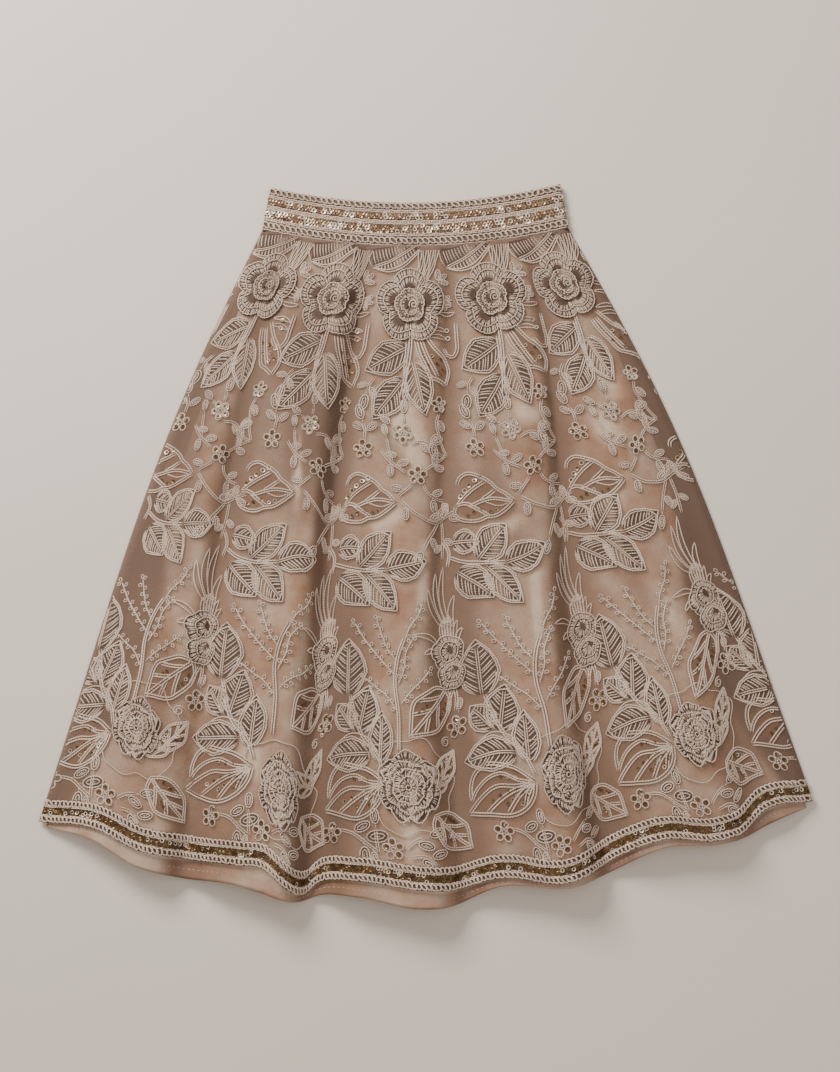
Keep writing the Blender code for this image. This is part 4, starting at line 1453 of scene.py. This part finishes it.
def sequin_finish(name, dark, middle, flash):
    """Sequins of foil in many tones: the few of the highest tone are painted white and less
    metallic as painted glints.
    """
    finish = Finish(name, Specular_IOR_Level=0.6)
    tone = finish.attribute("tone")
    fleck = finish.noise(900.0, 2.0)
    # Painted glint: the highest tones turn white.
    painted_glint = finish.clamped((tone - 0.60) * 5.0)
    colour = finish.blend(finish.clamped(tone * 1.2), dark, middle)
    return finish.feed(
        Base_Color=finish.blend(painted_glint, colour, flash),
        Metallic=0.60 - 0.45 * painted_glint,
        Roughness=0.22 + 0.2 * fleck,
    )


def tape_finish(name, dark, light):
    """Woven tape under the sequins and loops: cross ribs and a mottled tone."""
    finish = Finish(name, Sheen_Weight=0.2)
    _, along, _ = finish.parts(finish.place("UV"))
    ribs = finish.wave(along * 6.0)
    mottle = finish.noise(240.0, 3.0)
    return finish.feed(
        Base_Color=finish.blend(mottle * 0.7 + ribs * 0.3, dark, light),
        Roughness=0.55 + 0.2 * mottle,
        Normal=finish.bump(ribs, 0.0003, 0.5),
    )


def floor_finish():
    """A pale matt floor, faintly mottled."""
    finish = Finish("pale_floor", Roughness=0.9)
    mottle = finish.noise(3.0, 2.0)
    return finish.feed(Base_Color=finish.blend(mottle, *tints((240, 227, 213), (246, 234, 221))))


# Satin colours: the clouds' deep end, their pale end, also painted sheen and highlight, and painted
# shade.
SATIN_DEEP, SATIN_PALE_AND_GLEAM, SATIN_SHADE = tints((206, 154, 120), (255, 232, 206), (142, 106, 84))
THREAD = thread_finish("taupe_cord", *tints((64, 45, 34), (150, 119, 99), (255, 230, 210)))
# Pads and rose cores: thread under the cords, darker as painted shade in the gaps between them.
THREAD_PAD = thread_finish("taupe_pad", *tints((84, 62, 48), (122, 96, 77), (166, 140, 117)))
ROSE_PAD = thread_finish("taupe_rose_pad", *tints((94, 72, 58), (134, 108, 90), (170, 144, 124)))
SATIN = satin_finish()
NET = net_finish("fine_net", *tints((160, 126, 103), (106, 82, 68)), 0.13)
SECOND_NET = net_finish("second_net", *tints((150, 114, 90), (112, 84, 66)), 0.36)
# The white of the sequins' painted glints.
PAINTED_GLINT = (255, 246, 232)
ROSE_GOLD = sequin_finish("rose_gold_sequins", *tints((120, 90, 66), (206, 172, 140), PAINTED_GLINT))
BRONZE = sequin_finish("bronze_sequins", *tints((66, 46, 26), (158, 122, 78), PAINTED_GLINT))
BAND_TAPE = tape_finish("waistband_tape", *tints((78, 57, 44), (120, 93, 73)))
TRIM_TAPE = tape_finish("hem_trim_tape", *tints((64, 42, 28), (104, 76, 54)))
# Eyelet patches: a dark tape finish that is painted shade in the lace's openings.
EYELET_SHADE = tape_finish("eyelet_shade", *tints((60, 37, 24), (92, 63, 45)))


# ---------------------------------------------------------------- the cloth panels


def folds_shade(cloth):
    """How deep in a fold or crease each place of a cloth lies, from 0 on top of the loft to 1."""
    crease = np.clip(-crease_relief(cloth.across, cloth.down) / 0.003, 0, 1)
    return np.clip(1 - fold_share(cloth.across, cloth.down) + 0.6 * crease, 0, 1)


def side_shade(cloth):
    """1 at the side seams, where the net lies folded with only floor below it, and 0 from where
    the lining starts, which is further in below the middle of the skirt."""
    reach = smooth_through(cloth.v_rows, SIDE_SHADE_DOWN, SIDE_SHADE_REACH)[:, None]
    side = row_width(cloth.across, cloth.down) * np.minimum(cloth.across, 1 - cloth.across)
    share = np.clip((side - reach) / 0.012, 0, 1)
    return 1 - share * share * (3 - 2 * share)


def shade_of(cloth):
    """A cloth's painted shade: its folds' depth, the SHADES bands, which paint highlights below 0,
    and a painted shadow under the band.
    """
    # A painted shadow under the waistband.
    under_band = 0.9 * np.exp(-((cloth.down / 0.012) ** 2))
    return folds_shade(cloth) * 0.75 + soft_bands(cloth.across, cloth.down, SHADES) + under_band


def back_sheet(name, inset, hem_column, z, look, wall, node, **soft):
    """A flat back panel between its insets, down to its own hem."""
    across, down = even_grid(*BACK_GRID)
    edge = inset(down) / row_width(across, down)
    across = edge + (1 - 2 * edge) * across
    x, y = plan(across, down)
    longer = hem_line(across, hem_column)[1] + BACK_LIES_INSIDE - hem_line(across)[1]
    points = level(x, y + longer * np.clip((down - 0.9) / 0.1, 0, 1), z)
    uv, tones = points[..., :2] / MM / NET_MESH, np.full(x.shape, BACK_TONE)
    new_sheet(name, points, look, uv, tones, wall, node, **soft)


def make_lining():
    """The front lining runs past the net's hem, down to its own hem line, with a row of stitches
    above it. The back lining lies flat under it."""
    net = front_cloth(LINING_LIFT, 1.0, lining_inset, FRONT_GRID)
    hem_normals = grid_normals(net.points)[-1:]
    across = np.repeat(net.across[-1:], ROWS_PAST_NET, axis=0)
    longer = (hem_line(across[0])[1] - hem_line(across[0], 2)[1]) / panel_length(across[0])
    down = 1 + longer * np.linspace(0, 1, ROWS_PAST_NET + 1)[1:, None]
    extra = surface(across, down, 1.0) + hem_normals * LINING_LIFT
    # The satin's tone: painted shade from shade_of, painted highlight below 0, and HEM_SHADE more
    # past the net's hem.
    shade = shade_of(net)
    shade = np.concatenate([shade, np.repeat(shade[-1:] + HEM_SHADE, ROWS_PAST_NET, axis=0)])
    points, tones = np.concatenate([net.points, extra]), np.clip(shade, -1, 1)
    look, wall = (SATIN, "satin"), LINING_CLOTH
    soft = {"flat": (0.72, 0.60), "area": 0.33, "rests_on": ["lining_back_satin"]}
    name = "lining_front"
    new_sheet(f"{name}_satin", points, look, points[..., :2], tones, wall, name, **soft)
    soft = {"flat": (0.65, 0.60), "area": 0.27, "rests_on": ["net_back_net"]}
    name = "lining_back"
    back_sheet(f"{name}_satin", lining_inset, 2, BACK_LINING_Z, look, wall, name, **soft)
    stitches = Cordwork()
    normals = np.repeat(hem_normals, 2, axis=0)
    seam = Cloth(extra[-4:-2], across[:2], np.array([0.0, 1.0]), normals)
    count = int(seam.row_length[0] / STITCH_PITCH)
    u = (np.arange(count) + 0.5)[:, None] / count + np.linspace(-0.3, 0.3, 4) / count
    tone = np.random.default_rng(SEED + 4).random(count)
    stitches.lay(seam, u, 0 * u, 0.0006, 0.0003, LINING_CLOTH, tone, Cordwork.RIDGE)
    stitches.build("lining_hem_stitches", THREAD)


def make_net():
    """Front and back net. The back's cords hang under it, so it lies at the top of its solid."""
    cloth = front_cloth(NET_LIFT, NET_TAKES, grid=FRONT_GRID)
    steep = np.clip((1 / np.clip(cloth.normals[..., 2], 0.2, 1) - 1) * 1.2, 0, 1)
    deep = np.clip(shade_of(cloth), -0.3, 1)
    # The net's tone: closed and darker where it is steep and at the sides, with painted shade and
    # highlight from shade_of.
    tones = 0.46 * steep + 0.50 * deep + 0.30 * deep**3 + 0.62 * side_shade(cloth)
    tones = np.clip(tones, -0.25, 1)
    width = cloth.row_length[:, None] * np.linspace(-0.5, 0.5, FRONT_GRID[1])
    uv = np.stack([width, -cloth.down * PANEL_DROP], -1) / MM / NET_MESH
    look, wall = (NET, "net"), NET_CLOTH
    soft = {"flat": (0.76, 0.59), "area": 0.33, "rests_on": ["lining_front_satin"]}
    new_sheet("net_front_net", cloth.points, look, uv, tones, wall, "net_front", **soft)
    soft = {"flat": (0.66, 0.59), "area": 0.28, "rests_on": ["floor"]}
    back_sheet("net_back_net", lambda down: 0 * down, 1, BACK_NET_Z, look, wall, "net_back", **soft)


# ---------------------------------------------------------------- sewing on


def sew(cordwork, cloth, name, spot, turn, size, rng, coarse=False):
    """Lays a drawing's cords on cloth. Points past the side seams, the band or the trim end it.
    Coarse sewing has fewer points and lies flat."""
    drawing = Drawing().place(DRAWINGS[name], turn=turn)
    hem = 1 - 0.9 * TRIM_HEIGHT / float(panel_length(np.array(np.clip(spot[0], 0, 1))))
    section = Cordwork.RIDGE if coarse else Cordwork.ROUND
    for points, width, lift in drawing.cords:
        if coarse:
            count = points.shape[1]
            keep = np.unique(np.linspace(0, count - 1, max(4, count * 3 // 5)).astype(int))
            points, lift = points[:, keep], lift[:, keep] * 0
        u, v = cloth.sewn(*spot, points * (size[0] * MM, size[1] * MM))
        rise = CORD_RISE * MM * width / CORD * (0.5 if coarse else 1.0)
        tone = rng.random(len(points))
        cordwork.lay(cloth, u, v, width * MM, rise, lift * MM, tone, section, inside(u, v, hem))
    return drawing


def inside(u, v, hem, side=SIDE_MARGIN, top=TOP_MARGIN):
    """Whether places lie within the margins."""
    return (u > side) & (u < 1 - side) & (v > top) & (v < hem)


def sequin_ring(sides=10, hole=0.32, cup=0.16):
    """One sequin of radius 1 in its own plane: two rings of points, the inner one lower. Its faces
    point up."""
    angle = np.arange(sides) * 2 * np.pi / sides
    outer = np.column_stack([polar(angle, 1.0), np.full(sides, cup)])
    inner = np.column_stack([polar(angle, hole), np.zeros(sides)])
    i, j = np.arange(sides), (np.arange(sides) + 1) % sides
    return np.concatenate([outer, inner]), np.stack([i, j, j + sides, i + sides], -1)


def scatter_sequins(name, places, outs, radii, tones, finish, slot, rng, tilt):
    """Sequins at places, each in the plane across its own outward direction, tilted a little, and
    darker round the hole as painted shade."""
    shape, faces = sequin_ring()
    count = len(places)
    outs = outs + rng.normal(0, tilt, (count, 3))
    outs /= np.linalg.norm(outs, axis=1, keepdims=True)
    first = np.cross(outs, (0.31, 0.95, 0.02))
    first /= np.linalg.norm(first, axis=1, keepdims=True)
    axes = np.stack([first, np.cross(outs, first), outs], axis=1)
    points = places[:, None] + radii[:, None, None] * (shape @ axes)
    faces = (faces + (np.arange(count) * len(shape))[:, None, None]).reshape(-1, 4)
    tones = tones[:, None] * np.repeat([1.0, 0.20], len(shape) // 2)
    new_piece(name, points, faces, finish, slot, tones=tones, smooth=False)


def lay_grounds(works, cloth, drawing, spot, size):
    """Lays a drawing's patches on cloth, each in the Cordwork of its kind."""
    for grid, height, kind in drawing.grounds:
        drawn = grid * size
        u, v = cloth.sewn(*spot, drawn * MM)
        at = cloth.read(cloth.points, u, v)
        at = at + cloth.read(cloth.normals, u, v) * height[..., None] * MM
        away, around = drawn[1:, :-1] - drawn[:-1, :-1], drawn[:-1, 1:] - drawn[:-1, :-1]
        turned = (away[..., 0] * around[..., 1] - away[..., 1] * around[..., 0]).sum() < 0
        quads = grid_faces(*u.shape, turned)
        shown = inside(u, v, PATCH_HEM)
        kept = shown[:-1, :-1] & shown[1:, 1:] & shown[1:, :-1] & shown[:-1, 1:]
        if kept.any():
            uv = drawn.reshape(-1, 2) / (NET_MESH if kind == "veil" else UV_UNIT)
            # The tone less the cloth's painted shade: pads and cores darken there, and a veil grows
            # lighter and more open.
            tones = 0.3 - 0.6 * cloth.read(cloth.shade, u, v).ravel()
            works[kind].keep(at.reshape(-1, 3), quads[kept.ravel()], uv, tones)


def make_embroidery():
    """All that is sewn to the front net: cords in a few pieces by kind, patches and sequins."""
    rng = np.random.default_rng(SEED)
    cloth = front_cloth(SEWN_LIFT, NET_TAKES)
    cloth.shade = np.clip(shade_of(cloth), -0.3, 1)[..., None]
    kinds = "applique", "leaf", "vine", "pad", "core", "veil", "hole"
    works = {kind: Cordwork() for kind in kinds}
    shine = []
    for name, spot, turn, size in placed_drawings():
        drawing = sew(works[KINDS[name]], cloth, name, spot, turn, size, rng)
        lay_grounds(works, cloth, drawing, spot, size)
        for x, y, radius in drawing.sequins:
            u, v = cloth.sewn(*spot, np.array([[x * size[0], y * size[1]]]) * MM)
            if inside(u, v, SEQUIN_HEM, SEQUIN_MARGIN, SEQUIN_MARGIN)[0]:
                shine.append((u[0], v[0], radius * MM))
    made = works["applique"].build("applique_cords", THREAD)
    labels = ("rose_waist", "leaf_trio", "leaf_sprig", "rose_hem")
    numbers = range(1, REPEATS + 1)
    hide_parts(*(f"{label}_{number}" for label in labels for number in numbers))
    works["pad"].build("applique_pads", THREAD_PAD)
    works["core"].build("rose_pads", ROSE_PAD)
    works["veil"].build("applique_net", SECOND_NET, "net")
    works["hole"].build("applique_eyelets", EYELET_SHADE)
    works["vine"].build("vine_cords", THREAD)
    works["leaf"].build("leaf_and_bud_cords", THREAD)
    u, v, radii = np.array(shine).T
    places, outs = cloth.above(u, v, 0.0006)
    # The large sequins and some small ones get the highest tones, which are painted glints.
    tones = 0.26 + rng.random(len(u)) * 0.42
    small = (radii < 0.0017) & (rng.random(len(u)) < 0.30)
    bright = (radii > 0.95 * BRIGHT_SEQUIN * MM) | small
    tones[bright] = 0.7 + 0.3 * rng.random(bright.sum())
    scatter_sequins("net_sequins", places, outs, radii, tones, BRONZE, "waistband", rng, 0.15)


def make_back_embroidery():
    """The same lace on the back net, flat under it, with fewer points to each cord."""
    rng = np.random.default_rng(SEED + 1)
    cloth, work = back_cloth(BACK_NET_Z), Cordwork()
    for name, spot, turn, size in placed_drawings():
        sew(work, cloth, name, spot, turn, size, rng, coarse=True)
    work.build("back_cords", THREAD)


# ---------------------------------------------------------------- waistband and hem trim


def band_cloth(z, face):
    """The waistband as cloth: rows from its top edge to the seam, a little crowned."""
    across, down = even_grid(25, 121)
    top, seam = np.stack(band_top_line(across), -1), np.stack(seam_line(across), -1)
    flat = top + (seam - top) * down[..., None]
    points = np.dstack([flat, z + face * 0.0004 * np.sin(np.pi * down)])
    return Cloth(points, across, down[:, 0], face=face)


def trim_cloth_front():
    """The front trim as cloth: the net's surface over the trim's height."""
    fine = front_cloth(TRIM_LIFT, NET_TAKES)
    share = np.linspace(0, 1, 13)
    down = 1 - TRIM_HEIGHT / panel_length(fine.across[-1]) * (1 - share[:, None])
    across = np.broadcast_to(fine.across[-1], down.shape)
    normals = np.repeat(fine.normals[-1:], len(share), axis=0)
    shade = np.repeat(np.clip(shade_of(fine)[-1:], 0, 1), len(share), axis=0)
    points = surface(across, down, NET_TAKES) + normals * TRIM_LIFT
    return Cloth(points, across, share, normals, shade=shade)


def trim_cloth_back(z):
    """The back trim as flat cloth above the back net's hem."""
    across, share = even_grid(9, 121)
    y = hem_line(across)[1]
    rise = BACK_LIES_INSIDE + TRIM_HEIGHT * (1 - share)
    x = plan(across, 1 - rise / (seam_line(across)[1] - y))[0]
    return Cloth(level(x, y + rise, z), across, share[:, 0], face=-1)


def lay_rows(work, cloth, shares, width, rise, rng):
    """Cords that run the length of a band at shares of its height, each waving a little."""
    u = np.linspace(0.001, 0.999, cloth.across.shape[1])
    for share in shares:
        v = share + 0.006 * np.sin(u * 190 + share * 40)
        work.lay(cloth, u[None], v[None], width, rise, 0.0, rng.random(1))


def lay_loops(work, cloth, share, pitch, half_height, width, rise, rng):
    """A row of slanting rings, each over the edge of the last, along a band."""
    length = float(np.interp(share, cloth.v_rows, cloth.row_length))
    count = int(length / pitch)
    centres = (np.arange(count)[:, None] + 0.5 + rng.normal(0, 0.05, (count, 1))) / count
    angle = np.linspace(0, 2 * np.pi, 11)
    lean = rng.normal(0.25, 0.12, (count, 1))
    u = centres + (np.cos(angle) * 0.56 + lean * np.sin(angle)) * pitch / length
    v = share + np.sin(angle) * half_height * rng.normal(1.0, 0.06, (count, 1))
    lift = 0.0001 + 0.0004 * np.cos(angle) ** 2 + 0 * u
    work.lay(cloth, u, v, width, rise, lift, rng.random(count))


def sequin_rows(cloth, shares, count, lift, rng, flash):
    """Close rows of sequins along a band. They carry painted glints in clusters: a few waves of
    unlike lengths say where."""
    apart = 0.5 * (np.arange(len(shares)) % 2)[:, None]
    u = (np.arange(count) + apart + rng.normal(0.25, 0.10, (len(shares), count))) / count
    u = np.clip(u, 0.004, 0.996).ravel()
    v = np.repeat(shares, count) + rng.normal(0, 0.006, len(u))
    waves = 0.7 * np.sin(u * 61 + 9 * v) + 0.7 * np.sin(u * 23 + 21 * v + 1.7)
    cluster = waves + rng.normal(size=len(u))
    tones = np.where(cluster > flash, 1.0, 0.15 + rng.random(len(u)) * 0.45)
    return *cloth.above(u, v, lift), tones


def make_band(name, cloth, slot, tape, sequins, rows, sizes, flash, wall, flat, seed):
    """A tape with sequins between cords, and a row of loops along each edge. rows gives the
    shares of the height where they lie."""
    rng = np.random.default_rng(SEED + seed)
    proud, rise, lift, flash_lift, tilt = BAND_FRONT if cloth.face > 0 else BAND_BACK
    length = float(cloth.row_length.mean()) / MM / UV_UNIT
    sides = [np.linspace(0, end, count) for end, count in zip((2, length), cloth.across.shape)]
    uv = np.stack(np.meshgrid(*sides, indexing="ij"), -1)
    look, face = (tape, slot), cloth.face
    new_sheet(f"{name}_tape", cloth.points, look, uv, None, wall, name, face, flat=flat)
    points = cloth.points + cloth.normals * wall * proud
    raised = Cloth(points, cloth.across, cloth.v_rows, cloth.normals)
    work = Cordwork()
    lay_rows(work, raised, rows["cords"], BAND_CORD, rise, rng)
    for share, half_height, pitch in rows["loops"]:
        lay_loops(work, raised, share, pitch * MM, half_height, LOOP_CORD, rise, rng)
    work.build(f"{name}_braid", THREAD)
    pitch, radius = sizes
    count = int(cloth.row_length.mean() / pitch)
    places, outs, tones = sequin_rows(raised, rows["sequins"], count, lift, rng, flash)
    flashing = tones == 1.0
    radii = radius * rng.normal(1.0, 0.05, len(places)) * np.where(flashing, FLASHING_SIZE, 1.0)
    places = places + outs * np.where(flashing, flash_lift, 0.0)[:, None]
    scatter_sequins(f"{name}_sequins", places, outs, radii, tones, sequins, slot, rng, tilt)


# Shares of a band's height. A row of loops is (share, half height, pitch in millimetres).
BAND_ROWS = {
    "loops": ((0.080, 0.062, 5.2), (0.868, 0.066, 5.0)),
    "cords": (0.185, 0.225, 0.425, 0.458, 0.492, 0.722, 0.758, 0.975),
    "sequins": (0.283, 0.350, 0.545, 0.607, 0.670),
}
TRIM_ROWS = {
    "loops": ((0.155, 0.125, 3.8), (0.845, 0.125, 3.8)),
    "cords": (0.315, 0.685),
    "sequins": (0.375, 0.435, 0.500, 0.565, 0.625),
}


# How a band is sewn: whether sequins and cords lie on the tape's wall, the cords' rise, the
# sequins' lift, how much further the flashing ones are lifted, and how much they tilt.
BAND_FRONT = (1.0, 0.0009, 0.0006, 0.0002, 0.14)
BAND_BACK = (0.0, 0.0003, 0.0001, 0.0, 0.01)
BAND_CORD = 0.0015
LOOP_CORD = 0.00155
FLASHING_SIZE = 1.22


def make_waistband_and_trim():
    """The four bands. Each side's own random draws start from a seed of its own."""
    waist = "waistband", BAND_TAPE, ROSE_GOLD, BAND_ROWS, (0.0029, 0.00175)
    trim = "hem_trim", TRIM_TAPE, BRONZE, TRIM_ROWS, (0.0024, 0.00140)
    bands = (
        # name, cloth, what both sides share, flash, wall, flat size
        ("waistband_front", band_cloth(0.0027, 1), waist, 1.05, 0.0020, (0.275, 0.042)),
        ("waistband_back", band_cloth(0.0010, -1), waist, 0.95, 0.0016, (0.275, 0.042)),
        ("hem_trim_front", trim_cloth_front(), trim, 2.05, 0.0004, (0.72, 0.020)),
        ("hem_trim_back", trim_cloth_back(0.0010), trim, 2.05, 0.0003, (0.67, 0.020)),
    )
    for seed, (name, cloth, shared, *own) in enumerate(bands, start=10):
        make_band(name, cloth, *shared, *own, seed)


# ---------------------------------------------------------------- stage


CAMERA_TARGET = (-0.0055, -0.0025, 0.0)
CAMERA_ELEVATION = np.radians(80)
CAMERA_DISTANCE = 1.45
LENS = 55.33
LIGHTS = (
    # name, place, size, watts
    ("window", (-1.1, 1.5, 1.15), 0.9, 62.0),
    ("ceiling", (0.4, -0.3, 2.4), 2.4, 18.0),
)


def make_stage():
    """The floor, the camera, which looks down at the skirt from its hem's side, and the lights."""
    scene = bpy.context.scene
    mesh = bpy.data.meshes.new("floor")
    corners = [(-6, -6, FLOOR_Z), (6, -6, FLOOR_Z), (6, 6, FLOOR_Z), (-6, 6, FLOOR_Z)]
    mesh.from_pydata(corners, [], [(0, 1, 2, 3)])
    mesh.materials.append(floor_finish())
    floor = bpy.data.objects.new("floor", mesh)
    scene.collection.objects.link(floor)
    lens = bpy.data.cameras.new("camera")
    lens.lens = LENS
    camera = bpy.data.objects.new("camera", lens)
    up, back = (CAMERA_DISTANCE * turn(CAMERA_ELEVATION) for turn in (np.sin, np.cos))
    camera.location = (CAMERA_TARGET[0], CAMERA_TARGET[1] - back, CAMERA_TARGET[2] + up)
    camera.rotation_euler = (np.pi / 2 - CAMERA_ELEVATION, 0, 0)
    scene.collection.objects.link(camera)
    scene.camera = camera
    for name, place, size, watts in LIGHTS:
        light = bpy.data.lights.new(name, "AREA")
        light.size, light.energy, light.color = size, watts, (1.0, 0.965, 0.92)
        lamp = bpy.data.objects.new(name, light)
        lamp.location = place
        aim = Vector(CAMERA_TARGET) - Vector(place)
        lamp.rotation_euler = aim.to_track_quat("-Z", "Y").to_euler()
        scene.collection.objects.link(lamp)
    world = bpy.data.worlds.new("room")
    world.use_nodes = True
    background = world.node_tree.nodes["Background"].inputs
    background["Color"].default_value = (1.0, 0.955, 0.90, 1)
    background["Strength"].default_value = 0.30
    scene.world = world


make_stage()
make_lining()
make_net()
make_embroidery()
make_back_embroidery()
make_waistband_and_trim()
